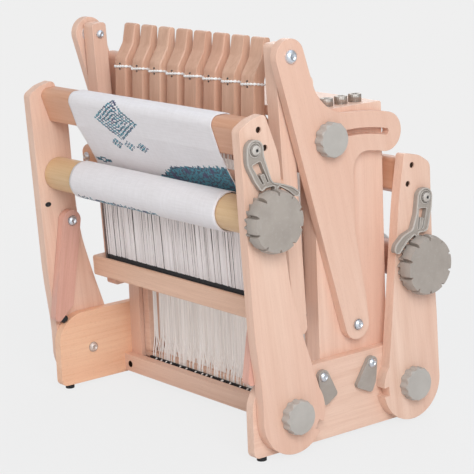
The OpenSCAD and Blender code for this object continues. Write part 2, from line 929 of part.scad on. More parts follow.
// What is wound on a roller is a sleeve round it
module wound(at, r, x0, x1) {
    place() difference() {
        pin(at, r, x0, x1);
        pin(at, roller_d / 2 + bore_fit, x0 - 1, x1 + 1);
    }
}

module cloth_roller() {
    roller(front_roller);
}

module cloth_roll() {
    color(white) wound(front_roller, cloth_roll_d / 2, cloth_left - 4, cloth_right + 4);
}

// Ratchet: a toothed wheel with a lobed hand grip
tooth_depth = 4.5;
grip_cog = 6;
tooth_back = 0.2;
grip_side = 2;
grip_face = 2.5;

function tooth_points(lead) =
    let (step = 360 / teeth_n)
    [for (i = [0:teeth_n - 1], p = [
        [ratchet_r - tooth_depth, 0],
        [ratchet_r, tooth_back],
        [ratchet_r, tooth_back + 0.18]
    ]) polar(p[0], 90 + lead * (i + p[1]) * step)];

module ratchet(at, lead) {
    color(taupe) place() difference() {
        union() {
            slab(wheel_in, wheel_in + ratchet_t)
                translate(at) polygon(tooth_points(lead));
            intersection() {
                slab(wheel_in + ratchet_t, wheel_in + ratchet_t + grip_t)
                    translate(at) polygon(cogs(grip_d / 2, grip_cog, 10));
                bevel(at, grip_d / 2 + grip_side, grip_d / 2 - grip_face, wheel_in + ratchet_t,
                    grip_t);
            }
        }
        pin(at, axle_r + bore_fit, wheel_in - 1, wheel_in + ratchet_t + 4 + bore_fit);
    }
}

module front_ratchet() {
    ratchet(front_roller, 1);
}

// Pawl: drawn from the roller's axis for the front wheel, mirrored for the back one. Its
// body is sheared so that it reaches from its own pivot to the wheel, and its tail flares
// away from the wheel towards the tip.
pawl_gap = 0.5;
pawl_tooth_a = 12;
pawl_head_r = 13;
tail_in = 38.5;
tail_out = 46;

module pawl_outline(up, tail_a, flare) {
    tip = (ratchet_r + pawl_gap) * [sin(pawl_tooth_a), cos(pawl_tooth_a)];
    shear = (up[0] - pawl_from_roller[0]) / (up[1] - tail_in);
    function leant(p) = [p[0] + shear * (p[1] - tail_in), p[1], p[2]];
    difference() {
        union() {
            translate(up) circle(r = pawl_head_r);
            polygon(rounded([
                [up[0] - pawl_head_r, up[1], 0],
                leant([-33, 66, 12]),
                leant([-28, 51.5, 12]),
                leant([-16, 37.5, 3]),
                concat(polar(tail_in + 0.4, 100), 0),
                concat(polar(tail_out - 1, 85), 0),
                leant([-4.5, 47.3, 5]),
                leant([-10.5, 70, 15]),
                [up[0] + pawl_head_r * 0.98, up[1] - 2.5, 0]
            ]));
            polygon(concat(
                arc([0, 0], tail_in, 108, tail_a + 14),
                [
                    polar(tail_in + flare * 0.75, tail_a),
                    polar((tail_in + tail_out) / 2 + flare, tail_a - 2),
                    polar(tail_out + flare * 0.9, tail_a + 2),
                    polar(tail_out + flare * 0.6, tail_a + 18)
                ],
                arc([0, 0], tail_out, tail_a + 36, 98)
            ));
            polygon([
                tip + [-1.5, 0],
                tip + [1.2, -0.3],
                polar(tail_in + 1, 90 - pawl_tooth_a - 5),
                polar(tail_in + 1, 90 - pawl_tooth_a + 5)
            ]);
        }
        difference() {
            polygon(rounded([leant([-28, 68, 1]), leant([-15.5, 68, 1]),
                leant([-8.5, 42, 1]), leant([-15.5, 42, 1])]));
            polygon([for (p = [[-14.7, 40, 0], [-10, 40, 0], [-14.7, 57, 0], [-19.4, 57, 0]])
                let (q = leant(p)) [q[0], q[1]]]);
        }
        translate(up) circle(r = pawl_screw_r + bore_fit);
    }
}

module front_pawl() {
    color(taupe) place() slab(wheel_in, wheel_in + ratchet_t - layer_gap)
        translate(front_roller) pawl_outline(pawl_from_roller, 32, 3);
}

// Rear frame
rear_post_outline = [
    concat(rear_pivot + polar(disc_r, 143.5), 0),
    [145.2, 272.6, 200],
    [154.4, 326, 4],
    [178, 321.3, 20],
    [195.5, 310, 12],
    [196.8, 216, 300],
    [202.5, 128, 300],
    [rear_pivot[0] + disc_r * 0.99, rear_pivot[1] + 4, 0],
    [rear_pivot[0], rear_pivot[1] + 8, 0]
];

module rear_post(side) {
    color(wood) place() on_side(side) difference() {
        post_blank(rear_post_outline, rear_pivot, 184.5);
        pin(rear_pivot, bolt_r + bore_fit, post_in - 1, post_out + 1);
        pin(rear_roller, axle_r + bore_fit, post_in - 1, post_out + 1);
        for (s = rear_screws_at)
            pin(s, screw_d / 2 + bore_fit, post_in - 1, post_out + 1);
        if (side > 0)
            pin(rear_roller + rear_pawl_from_roller, pawl_screw_r + bore_fit,
                post_in - 1, post_out + 1);
    }
}

module rear_post_left() {
    rear_post(-1);
}

module rear_post_right() {
    rear_post(1);
}

module rear_beam() {
    color(wood) place() difference() {
        slab(-post_in, post_in)
            polygon(rounded(beam_section([rear_beam_y, rear_beam_top], -1, rear_beam_d)));
        beam_screw_holes(rear_screws_at);
    }
}

module rear_screws() {
    color(steel) place() {
        beam_screws(rear_screws_at);
        pawl_screw(rear_roller + rear_pawl_from_roller);
    }
}

module warp_roller() {
    roller(rear_roller);
}

module warp_roll() {
    color(white) wound(rear_roller, warp_roll_d / 2, cloth_left - 4, cloth_right + 4);
}

module rear_ratchet() {
    ratchet(rear_roller, -1);
}

module rear_pawl() {
    color(taupe) place() slab(wheel_in, wheel_in + ratchet_t - layer_gap)
        translate(rear_roller) mirror([1, 0])
            pawl_outline([-rear_pawl_from_roller[0], rear_pawl_from_roller[1]], 28, 8);
}

// Clamp knobs with their bolts
knob_side = 6;
knob_bevel = 1.5;
knob_lobe = 1.8;

module knob(at, x0, bolt_start) {
    pin(at, bolt_r, bolt_start, x0 + 1);
    intersection() {
        slab(x0, x0 + knob_t) translate(at) polygon(lobes(knob_d / 2, knob_lobe, 12));
        bevel(at, knob_d / 2 + knob_side, knob_d / 2 - knob_bevel, x0, knob_t);
    }
}

module frame_knobs(at) {
    color(taupe) place() both_sides() {
        knob(at, post_out + layer_gap, board_in - layer_gap);
        bolt_head(at, bolt_head_d, bolt_head_h, board_in - layer_gap, false);
    }
}

module front_knobs() {
    frame_knobs(front_pivot);
}

module rear_knobs() {
    frame_knobs(rear_pivot);
}

module plate_knobs() {
    color(taupe) place() both_sides()
        knob(plate_knob_at, board_out + layer_gap, bolt_from);
}

// Corner catches: flat pieces on the base boards, round at the pivot
catch_r = 8;

function catch_points(way, reach) =
    [for (p = [[-catch_r, 0, 0], [-5, -24, 8], [1.5, -36, 4], [reach, -24.5, 4],
        [catch_r * 0.93, 3, 0]]) [way * p[0], p[1], p[2]]];

module catches(at, way, reach) {
    x0 = board_out + layer_gap;
    color(taupe) place() both_sides() {
        slab(x0, x0 + catch_t) translate(at)
            polygon(rounded(catch_points(way, reach)));
        pin(at, catch_r, x0, x0 + catch_t);
        pin(at, bolt_r - bore_fit, board_in + blind, x0 + 1);
        bolt_head(at, bolt_head_d - 2, bolt_head_h - 1, x0 + catch_t, true);
    }
}

module front_catches() {
    catches(front_catch_at, 1, 21);
}

module rear_catches() {
    catches(rear_catch_at, -1, 26);
}

base_side_left();
base_side_right();
base_rails();
rubber_feet();
base_bolts();
castle_side_left();
castle_side_right();
castle_top();
lever_rod();
cord_guides();
bumpers();
lever_1();
lever_2();
lever_3();
lever_4();
lever_5();
lever_6();
lever_7();
lever_8();
shaft_1();
shaft_2();
shaft_3();
shaft_4();
shaft_5();
shaft_6();
shaft_7();
shaft_8();
beater_plate_left();
beater_plate_right();
hinge_bolts();
beater_arm_left();
beater_arm_right();
beater_rail_lower();
beater_rail_upper();
reed();
rail_bolts();
front_post_left();
front_post_right();
front_beam();
cloth();
front_screws();
front_struts();
strut_tips();
cloth_roller();
cloth_roll();
front_ratchet();
front_pawl();
rear_post_left();
rear_post_right();
rear_beam();
rear_screws();
warp_roller();
warp_roll();
rear_ratchet();
rear_pawl();
front_knobs();
rear_knobs();
plate_knobs();
front_catches();
rear_catches();
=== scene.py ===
# Folding table loom with eight shafts: finishes, cloth, warp, heddles and small fittings
import math
import random

import bmesh
import bpy
from mathutils import Matrix, Vector, noise
from mathutils.geometry import tessellate_polygon


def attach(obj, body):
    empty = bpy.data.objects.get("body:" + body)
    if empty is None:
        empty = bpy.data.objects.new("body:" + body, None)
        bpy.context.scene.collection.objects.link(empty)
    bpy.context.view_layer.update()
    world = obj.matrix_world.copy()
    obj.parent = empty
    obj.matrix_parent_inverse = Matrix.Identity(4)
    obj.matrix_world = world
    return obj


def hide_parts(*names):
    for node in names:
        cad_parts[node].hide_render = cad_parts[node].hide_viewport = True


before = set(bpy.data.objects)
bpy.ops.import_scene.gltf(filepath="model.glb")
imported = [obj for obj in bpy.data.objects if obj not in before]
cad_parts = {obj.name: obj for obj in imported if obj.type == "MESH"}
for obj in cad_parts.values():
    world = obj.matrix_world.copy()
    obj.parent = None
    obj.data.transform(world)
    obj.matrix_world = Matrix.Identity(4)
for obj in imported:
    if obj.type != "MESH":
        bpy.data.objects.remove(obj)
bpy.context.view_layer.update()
print("frame loaded:", len(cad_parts), "nodes")

# The loom's own plane: x from its middle, y from the front of the levers, z from the table, in mm
loomMiddle = {"x": 4.25, "y": 61.75}


def at(x, y, z):
    return Vector(((x - loomMiddle["x"]) / 1000, (y - loomMiddle["y"]) / 1000, z / 1000))


def colour(red, green, blue):  # screen values 0 to 255, as linear light
    def light(v):
        v /= 255
        return v / 12.92 if v <= 0.04045 else ((v + 0.055) / 1.055) ** 2.4
    return (light(red), light(green), light(blue), 1.0)


# Shader tools
class Sock:  # a socket that can be used in sums
    def __init__(self, graph, out):
        self.graph = graph
        self.out = out

    def sum(self, operation, first, second=0.0):
        return self.graph.node("ShaderNodeMath", {"operation": operation}, {0: first, 1: second})

    def __add__(self, other):
        return self.sum("ADD", self, other)

    def __radd__(self, other):
        return self.sum("ADD", other, self)

    def __sub__(self, other):
        return self.sum("SUBTRACT", self, other)

    def __rsub__(self, other):
        return self.sum("SUBTRACT", other, self)

    def __mul__(self, other):
        return self.sum("MULTIPLY", self, other)

    def __rmul__(self, other):
        return self.sum("MULTIPLY", other, self)

    def __truediv__(self, other):
        return self.sum("DIVIDE", self, other)

    def __rtruediv__(self, other):
        return self.sum("DIVIDE", other, self)

    def __mod__(self, other):
        return self.sum("FLOORED_MODULO", self, other)

    def __lt__(self, other):
        return self.sum("LESS_THAN", self, other)

    def __gt__(self, other):
        return self.sum("GREATER_THAN", self, other)

    def __abs__(self):
        return self.sum("ABSOLUTE", self)

    def floor(self):
        return self.sum("FLOOR", self)

    def sine(self):
        return self.sum("SINE", self)

    def root(self):
        return self.sum("SQRT", self)


class Graph:  # the nodes of one material
    def __init__(self, name, **constants):
        self.material = bpy.data.materials.new(name)
        self.material.use_nodes = True
        self.tree = self.material.node_tree
        self.shader = self.tree.nodes["Principled BSDF"]
        for key, value in constants.items():
            self.shader.inputs[key.replace("_", " ")].default_value = value

    def node(self, kind, settings, inputs, output=0):
        made = self.tree.nodes.new(kind)
        for key, value in settings.items():
            if key == "stops":
                while len(made.color_ramp.elements) < len(value):
                    made.color_ramp.elements.new(1.0)
                for stop, (position, tint) in zip(made.color_ramp.elements, value):
                    stop.position = position
                    stop.color = tint
            else:
                setattr(made, key, value)
        for key, value in inputs.items():
            self.feed(made.inputs[key], value)
        return Sock(self, made.outputs[output])

    def feed(self, socket, value):
        if isinstance(value, Sock):
            self.tree.links.new(value.out, socket)
        else:
            socket.default_value = value

    def parts(self, vector):
        return [self.node("ShaderNodeSeparateXYZ", {}, {0: vector}, k) for k in range(3)]

    def vector(self, x, y, z):
        return self.node("ShaderNodeCombineXYZ", {}, {0: x, 1: y, 2: z})

    def place(self):  # the piece's own place at rest, in metres
        return self.node("ShaderNodeTexCoord", {}, {}, "Object")

    def flat(self):  # across and along the cloth, in metres
        return self.parts(self.node("ShaderNodeTexCoord", {}, {}, "UV"))[:2]

    def blur(self, vector, scale=1.0, detail=2.0, rough=0.5):
        return self.node("ShaderNodeTexNoise", {}, {"Vector": vector, "Scale": scale, "Detail": detail, "Roughness": rough})

    def between(self, value, low, high, start=0.0, end=1.0):
        return self.node("ShaderNodeMapRange", {}, {0: value, 1: low, 2: high, 3: start, 4: end})

    def mix(self, share, first, second, blend="MIX"):
        return self.node("ShaderNodeMix", {"data_type": "RGBA", "blend_type": blend}, {0: share, 6: first, 7: second}, 2)

    def bump(self, height, distance, strength=1.0):
        return self.node("ShaderNodeBump", {}, {"Height": height, "Distance": distance, "Strength": strength})

    def finish(self, **sockets):
        for key, value in sockets.items():
            self.feed(self.shader.inputs[key.replace("_", " ")], value)
        return self.material


# Wood
woodLook = {
    "pale": colour(243, 208, 187),
    "deep": colour(222, 178, 154),
    "red": colour(227, 174, 151),
    "fleck": colour(164, 112, 84),
    "roughness": 0.46,
    "ringGap": 0.0065,
}


def wood(name, along, lean=0.0, tone=0.5, tint=None):
    look = dict(woodLook, **(tint or {}))
    g = Graph(name, Coat_Roughness=0.38, IOR=1.45, Coat_Weight=0.3)
    x, y, z = g.parts(g.place())
    if along == "x":
        u, v, w = x, y, z
    elif along == "y":
        u, v, w = y, x, z
    else:
        c, s = math.cos(math.radians(lean)), math.sin(math.radians(lean))
        u, v, w = z * c + y * s, x, y * c - z * s
    piece = g.node("ShaderNodeObjectInfo", {}, {}, "Random")
    shift = piece * 3.7
    fibre = g.blur(g.vector(u * 22 + shift, v * 620, w * 620), detail=3.0, rough=0.6)
    streak = g.blur(g.vector(u * 3.2 + shift, v * 74 + shift, w * 74), detail=3.0, rough=0.55)
    cloud = g.blur(g.vector(u * 2.0 + shift, v * 9, w * 9 + shift), detail=1.0)
    wander = g.blur(g.vector(u * 2.6, v * 7 + shift, w * 7), detail=1.0)
    pith = ((v + 0.09 + shift * 0.01) * (v + 0.09 + shift * 0.01) + (w - 0.21) * (w - 0.21)).root()
    ring = ((pith + wander * 0.034) * (2 * math.pi / look["ringGap"])).sine()
    ring = g.between(ring, 0.2, 1.0)
    fleck = g.between(g.blur(g.vector(u * 320, v * 2200, w * 2200), detail=0.0), 0.66, 0.76)
    share = g.between(streak, 0.3, 0.72) * 0.55 + ring * 0.12 + g.between(fibre, 0.35, 0.7) * 0.33
    base = g.mix(share, look["pale"], look["deep"])
    base = g.mix(g.between(cloud, 0.42, 0.72, 0.0, 0.5), base, look["red"])
    base = g.mix(fleck * 0.15, base, look["fleck"])
    base = g.mix(g.between(piece, 0.0, 1.0, 0.0, 0.22) + 0.1 * tone, base, look["deep"])
    return g.finish(
        Base_Color=base,
        Roughness=look["roughness"] + (fibre - 0.5) * 0.16,
        Normal=g.bump(fibre * 0.6 + ring * 0.15 + streak * 0.25, 0.0003, 0.35),
    )


woods = {
    "x": wood("beechAcross", "x"),
    "y": wood("beechLengthwise", "y"),
    "boardLeft": wood("beechLeftBoard", "y", tint={"pale": colour(252, 208, 174), "deep": colour(236, 178, 142), "red": colour(238, 178, 144)}),
    "z": wood("beechUpright", "z"),
    "lever": wood("beechLever", "z", tone=1.0, tint={"pale": colour(232, 190, 164), "deep": colour(196, 150, 124), "red": colour(208, 152, 126)}),
    "beam": wood("beechBeam", "x", tint={"pale": colour(224, 174, 144), "deep": colour(200, 142, 110), "red": colour(204, 140, 108)}),
    "rail": wood("beechRail", "x", tint={"pale": colour(240, 198, 172), "deep": colour(216, 168, 138), "red": colour(220, 166, 136)}),
    "plate": wood("beechPlate", "z", lean=-14, tone=1.3),
    "arm": wood("beechArm", "z", lean=-2.5, tone=1.5),
    "strut": wood("beechStrut", "z", lean=9.5, tint={"pale": colour(234, 184, 166), "deep": colour(208, 152, 134), "red": colour(212, 148, 130)}),
    "rearRoller": wood("beechRearRoller", "x", tint={"pale": colour(196, 142, 118), "deep": colour(160, 104, 82), "red": colour(170, 104, 84)}),
    "roller": wood("beechRoller", "x", tint={"pale": colour(232, 198, 158), "deep": colour(206, 166, 120), "red": colour(212, 168, 122)}),
    "post": wood("beechPost", "z", lean=-6),
}
print("wood ready")

# Plastic, rubber and metal
plasticLook = {"main": colour(184, 176, 168), "dark": colour(165, 156, 148), "roughness": 0.42}
gripLook = {"main": colour(168, 156, 146), "dark": colour(148, 136, 126), "roughness": 0.42}


def plastic(name, look):
    g = Graph(name, IOR=1.46)
    spot = g.place()
    cloud = g.blur(spot, 45, 2.0)
    grain = g.blur(spot, 1600, 2.0, 0.6)
    worn = g.between(g.blur(spot, 240, 3.0), 0.55, 0.75)
    base = g.mix(g.between(cloud, 0.35, 0.7, 0.0, 0.5), look["main"], look["dark"])
    base = g.mix(worn * 0.12, base, colour(205, 198, 190))
    return g.finish(
        Base_Color=base,
        Roughness=look["roughness"] + grain * 0.14,
        Normal=g.bump(grain, 0.00012, 0.5),
    )


rubberLook = {"main": colour(34, 34, 36), "dust": colour(88, 86, 84), "roughness": 0.78}


def rubber():
    look = rubberLook
    g = Graph("blackRubber", IOR=1.5)
    spot = g.place()
    dust = g.between(g.blur(spot, 300, 3.0), 0.55, 0.8)
    return g.finish(
        Base_Color=g.mix(dust * 0.5, look["main"], look["dust"]),
        Roughness=look["roughness"] + dust * 0.12,
        Normal=g.bump(g.blur(spot, 1400, 2.0), 0.0002, 0.5),
    )


steelLook = {"main": colour(226, 229, 234), "dark": colour(184, 187, 193), "roughness": 0.36}


def steel(name, main, dark, roughness):
    g = Graph(name, Metallic=1.0)
    spot = g.place()
    x, y, z = g.parts(spot)
    brush = g.blur(g.vector(x * 60, y * 900, z * 900), detail=2.0)
    tarnish = g.between(g.blur(spot, 160, 3.0), 0.45, 0.75)
    return g.finish(
        Base_Color=g.mix(tarnish * 0.6, main, dark),
        Roughness=roughness + brush * 0.14 + tarnish * 0.08,
        Normal=g.bump(brush, 0.00005, 0.5),
    )


taupe = plastic("taupePlastic", plasticLook)
paleTaupe = plastic("paleTaupePlastic", {"main": colour(196, 186, 177), "dark": colour(178, 168, 159), "roughness": 0.4})
deepTaupe = plastic("deepTaupePlastic", gripLook)
black = rubber()
bright = steel("brightSteel", steelLook["main"], steelLook["dark"], steelLook["roughness"])
brown = steel("burnishedScrew", colour(74, 58, 50), colour(44, 36, 33), 0.45)
# near-black steel: painted shade for the sunk base rail screws, standing in for the shade inside their holes
paintedHoleShade = steel("paintedHoleShadeSteel", colour(40, 28, 22), colour(24, 19, 17), 0.7)
pewter = steel("pewterGuide", colour(196, 188, 180), colour(160, 152, 144), 0.4)
pale = steel("paleBolt", colour(226, 214, 206), colour(206, 192, 182), 0.55)
print("plastic, rubber and steel ready")

# White yarn and cloth
yarnLook = {"light": colour(236, 231, 226), "dark": colour(205, 197, 190)}


def yarn(name, light, dark, across=700.0, glow=0.0):
    # glow sets an emission in the yarn's own colour: painted light that lifts threads sitting in shade between parts
    g = Graph(name, IOR=1.45, Sheen_Weight=0.15, Emission_Color=light, Emission_Strength=glow)
    spot = g.place()
    x, y, z = g.parts(spot)
    each = g.blur(g.vector(x * across, y * 90, z * 2), detail=1.0)
    twist = ((z + x * 2 + y) * (2 * math.pi / 0.0016)).sine()
    return g.finish(
        Base_Color=g.mix(g.between(each, 0.35, 0.68), light, dark),
        Roughness=0.78 + each * 0.1,
        Normal=g.bump(twist, 0.0001, 0.4),
    )


white = yarn("whiteYarn", yarnLook["light"], yarnLook["dark"])
# heddles, warp and cord get painted light through their glow, standing in for light reaching them among the frames
heddleYarn = yarn("heddleYarn", colour(232, 226, 222), colour(198, 190, 185), glow=0.27)
warpYarn = yarn("warpYarn", colour(234, 226, 224), colour(212, 203, 200), glow=0.2)
cord = yarn("whiteCord", colour(244, 243, 241), colour(228, 224, 219), glow=0.12)

clothLook = {
    "light": colour(238, 231, 231),
    "shade": colour(227, 219, 218),
    "teal": colour(28, 132, 150),
    "navy": colour(20, 40, 74),
    "purple": colour(48, 44, 92),
    "thread": 0.0009,
    "knot": 0.0021,
}


def clothMaterial(name, diamonds=(), border=None):
    look = clothLook
    g = Graph(name, IOR=1.42, Sheen_Weight=0.2, Sheen_Roughness=0.5)
    u, v = g.flat()
    warpWave = (u * (2 * math.pi / look["thread"])).sine()
    weftWave = (v * (2 * math.pi / look["thread"])).sine()
    over = (((u / look["thread"]).floor() + (v / look["thread"]).floor()) % 2.0) > 0.5
    weave = over * (warpWave * 0.5 + 0.5) + (1 - over) * (weftWave * 0.5 + 0.5)
    slub = g.blur(g.vector(u * 40, v * 520, 0.0), detail=2.0)
    end = g.blur(g.vector(u * 520, v * 16, 3.0), detail=2.0)
    cloud = g.blur(g.vector(u * 14, v * 14, 0.0), detail=2.0)
    twill = abs(((u - v) / 0.0072) % 2.0 - 1) - abs(((u + v) / 0.0072) % 2.0 - 1)
    share = g.between(slub, 0.38, 0.66) * 0.35 + g.between(end, 0.36, 0.66) * 0.3
    share = share + g.between(cloud, 0.4, 0.7) * 0.2 + g.between(twill, -0.3, 0.3) * 0.08
    base = g.mix(share, look["light"], look["shade"])
    knotU = (u / look["knot"]).floor() * look["knot"]
    knotV = (v / look["knot"]).floor() * look["knot"]
    each = g.blur(g.vector(knotU * 700, knotV * 900, 2.0), detail=0.0)
    gaps = each > 0.3
    inked = None
    for middleU, middleV, halfU, halfV, rings in diamonds:
        far = abs(knotU - middleU) / halfU + abs(knotV - middleV) / halfV
        mark = (far < 1.0) * (((far * rings) % 1.0) > 0.38) * gaps
        inked = mark if inked is None else inked + mark
    if border:
        wave = abs(((knotU / border["tooth"]) % 2.0) - 1) * border["rise"] + (each - 0.5) * border["ragged"]
        depth = border["end"] - knotV - wave
        tall = g.between(u, border["from"], border["to"], border["low"], border["high"])
        tall = tall * g.between(u, border["from"], border["from"] + border["taper"])
        inBand = (depth < tall) * (depth > border.get("past", -0.02)) * (v < border["end"] + 0.03)
        mark = inBand * (each > border["open"])
        mark = mark * (u > border["from"]) * (u < border["to"])
        if "edge" in border:
            mark = mark + (u > border["edge"]) * (v < border["edgeEnd"]) * (((v / 0.0052) % 1.0) > 0.4)
        inked = mark if inked is None else inked + mark
    if inked is not None:
        tint = g.blur(g.vector(knotU * 260, knotV * 420, 5.0), detail=1.0)
        ink = g.mix(g.between(tint, 0.44, 0.58), look["teal"], look["navy"])
        ink = g.mix(g.between(g.blur(g.vector(knotU * 70, knotV * 70, 9.0), detail=0.0), 0.64, 0.72), ink, look["purple"])
        thread = 0.9 + weave * 0.1
        base = g.mix(g.between(inked * thread, 0.0, 1.0), base, ink)
    return g.finish(
        Base_Color=base,
        Roughness=0.82 + slub * 0.1,
        Normal=g.bump(weave * 0.8 + slub * 0.2, 0.00022, 0.55),
    )


# Mesh tools
class Shape:  # points in the loom's millimetres, with the faces between them
    def __init__(self):
        self.points = []
        self.faces = []
        self.flats = []

    def grid(self, rows, closedRows=False, closedColumns=False, flats=None):
        start = len(self.points)
        wide = len(rows[0])
        for row in rows:
            self.points.extend(row)
        down = len(rows) if closedRows else len(rows) - 1
        along = wide if closedColumns else wide - 1
        for i in range(down):
            for j in range(along):
                a, b = i * wide + j, i * wide + (j + 1) % wide
                c, d = ((i + 1) % len(rows)) * wide + (j + 1) % wide, ((i + 1) % len(rows)) * wide + j
                self.faces.append([start + k for k in (a, b, c, d)])
                if flats:
                    self.flats.append([flats[i][j], flats[i][(j + 1) % wide], flats[(i + 1) % len(rows)][(j + 1) % wide], flats[(i + 1) % len(rows)][j]])
        return start

    def cap(self, row):
        start = len(self.points)
        self.points.extend(row)
        self.faces.append(list(range(start, start + len(row))))

    def box(self, low, high):
        (a, b, c), (d, e, f) = low, high
        ring = [[(x, y, z) for y, z in ((b, c), (e, c), (e, f), (b, f))] for x in (a, d)]
        start = self.grid(ring, closedColumns=True)
        self.faces.append([start + k for k in (3, 2, 1, 0)])
        self.faces.append([start + k for k in (4, 5, 6, 7)])

    def tube(self, path, radius, sides=6, closed=False):
        path = [Vector(p) for p in path]
        count = len(path)
        rows = []
        normal = None
        for k, point in enumerate(path):
            if closed:
                way = path[(k + 1) % count] - path[k - 1]
            else:
                way = path[min(k + 1, count - 1)] - path[max(k - 1, 0)]
            way.normalize()
            if normal is None:
                normal = way.orthogonal().normalized()
            normal = (normal - way * normal.dot(way)).normalized()
            other = way.cross(normal)
            size = radius[k] if isinstance(radius, (list, tuple)) else radius
            rows.append([point + (normal * math.cos(2 * math.pi * s / sides) + other * math.sin(2 * math.pi * s / sides)) * size for s in range(sides)])
        self.grid(rows, closedRows=closed, closedColumns=True)
        if not closed:
            self.cap(rows[0][::-1])
            self.cap(rows[-1])

    def turned(self, profile, centre, way, sides=32):  # profile of (radius, height) about a line
        way = Vector(way).normalized()
        first = way.orthogonal().normalized()
        second = way.cross(first)
        rows = []
        for radius, height in profile:
            rows.append([Vector(centre) + way * height + (first * math.cos(2 * math.pi * s / sides) + second * math.sin(2 * math.pi * s / sides)) * radius for s in range(sides)])
        self.grid(rows, closedColumns=True)

    def piece(self, name, material, body, slot=None, stands=(), smooth=True, weld=True):
        mesh = bpy.data.meshes.new(name)
        mesh.from_pydata([at(*p) for p in self.points], [], self.faces)
        if self.flats:
            layer = mesh.uv_layers.new(name="flat")
            corner = 0
            for face in self.flats:
                for spot in face:
                    layer.data[corner].uv = spot
                    corner += 1
        mesh.materials.append(material)
        mesh.validate()
        if weld:
            joined = bmesh.new()
            joined.from_mesh(mesh)
            bmesh.ops.remove_doubles(joined, verts=joined.verts, dist=1e-6)
            bmesh.ops.recalc_face_normals(joined, faces=joined.faces)
            joined.to_mesh(mesh)
            joined.free()
        mesh.polygons.foreach_set("use_smooth", [smooth] * len(mesh.polygons))
        made = bpy.data.objects.new(name, mesh)
        bpy.context.scene.collection.objects.link(made)
        if body:
            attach(made, body)
        if stands:
            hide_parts(*stands)
        return made


def softened(piece, width, angle=35.0, segments=2):  # small rounds along the edges
    weld = piece.modifiers.new("weld", "WELD")
    weld.merge_threshold = 0.00001
    flat = piece.modifiers.new("flat", "DECIMATE")
    flat.decimate_type = "DISSOLVE"
    flat.angle_limit = math.radians(0.6)
    bevel = piece.modifiers.new("edges", "BEVEL")
    bevel.width = width
    bevel.segments = segments
    bevel.limit_method = "ANGLE"
    bevel.angle_limit = math.radians(angle)
    bevel.use_clamp_overlap = True
    even = piece.modifiers.new("even", "WEIGHTED_NORMAL")
    even.keep_sharp = False
    even.weight = 80


# CAD nodes keep their shape and get their finish here
nodeFinish = {
    "y": ["base_side_right"],
    "boardLeft": ["base_side_left"],
    "x": ["base_rails", "castle_top"],
    "rail": ["beater_rail_lower", "beater_rail_upper"],
    "beam": ["front_beam", "rear_beam"],
    "roller": ["cloth_roller"],
    "rearRoller": ["warp_roller"],
    "z": ["castle_side_left", "castle_side_right"],
    "post": ["front_post_left", "front_post_right", "rear_post_left", "rear_post_right"],
    "plate": ["beater_plate_left", "beater_plate_right"],
    "arm": ["beater_arm_left", "beater_arm_right"],
    "strut": ["front_struts"],
    "lever": ["lever_%d" % k for k in range(1, 9)],
}
edgeRound = {"lever": 0.0022, "arm": 0.0016, "strut": 0.0012, "post": 0.0017, "plate": 0.0012, "y": 0.0015, "boardLeft": 0.0015, "x": 0.0011, "z": 0.001, "rail": 0.0011, "beam": 0.0011, "roller": 0.0008, "rearRoller": 0.0008}


def finishNode(name, material, width=0.0):
    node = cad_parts[name]
    node.data.materials.clear()
    node.data.materials.append(material)
    if width:
        softened(node, width)


for key, names in nodeFinish.items():
    for name in names:
        finishNode(name, woods[key], edgeRound[key])
for name in ("front_ratchet", "rear_ratchet"):
    finishNode(name, deepTaupe, 0.0013)
for name in ("front_catches", "rear_catches"):
    finishNode(name, deepTaupe, 0.0011)
for name in ("front_knobs", "rear_knobs", "plate_knobs"):
    finishNode(name, taupe, 0.0007)
for name in ("rubber_feet", "bumpers", "strut_tips"):
    finishNode(name, black, 0.0005)
for name in ("lever_rod", "hinge_bolts", "rail_bolts"):
    finishNode(name, bright)
for name in ("front_screws", "rear_screws"):
    finishNode(name, brown)
# the sunk screws are painted near-black as the shade inside their holes
finishNode("base_bolts", paintedHoleShade)
finishNode("cord_guides", pewter)
print("nodes finished")

# Cloth from the front beam to the cloth roll
clothSize = {"left": -140.0, "right": 146.0, "thick": 0.9, "columns": 150, "gap": 0.3, "wave": 1.3}
beam = [(-73.0, 391.5, 10.0), (-43.0, 391.5, 6.0), (-36.0, 356.0, 4.0), (-57.5, 347.0, 4.0)]  # its section, with the round of each corner
clothRoller = {"y": -50.5, "z": 281.0, "wood": 21.0, "wound": 24.0}


def arcPoints(centre, radius, start, end, step=6.0):
    count = max(2, math.ceil(abs(end - start) / step))
    angles = [math.radians(start + (end - start) * k / count) for k in range(count + 1)]
    return [(centre[0] + radius * math.cos(a), centre[1] + radius * math.sin(a)) for a in angles]


def unit(a, b):  # from a to b
    length = math.hypot(b[0] - a[0], b[1] - a[1])
    return ((b[0] - a[0]) / length, (b[1] - a[1]) / length)


def inward(a, b, c, reach):  # from the corner b towards the middle between its sides, and half its angle
    u, w = unit(b, a), unit(b, c)
    half = math.acos(u[0] * w[0] + u[1] * w[1]) / 2
    m = unit((0, 0), (u[0] + w[0], u[1] + w[1]))
    return (b[0] + m[0] * reach / math.sin(half), b[1] + m[1] * reach / math.sin(half)), half


def cornerPoints(a, b, c, radius):
    middle, half = inward(a, b, c, radius)
    reach = radius / math.tan(half)
    ends = []
    for way in (unit(b, a), unit(b, c)):
        ends.append(math.degrees(math.atan2(b[1] + way[1] * reach - middle[1], b[0] + way[0] * reach - middle[0])))
    turn = (ends[1] - ends[0] + 540) % 360 - 180
    return arcPoints(middle, radius, ends[0], ends[0] + turn)


def spaced(path, gap):
    made = [path[0]]
    for (a, b), (c, d) in zip(path, path[1:]):
        count = max(1, math.ceil(math.hypot(c - a, d - b) / gap))
        made += [(a + (c - a) * k / count, b + (d - b) * k / count) for k in range(1, count + 1)]
    return made


def runs(path):
    total = [0.0]
    for (a, b), (c, d) in zip(path, path[1:]):
        total.append(total[-1] + math.hypot(c - a, d - b))
    return total


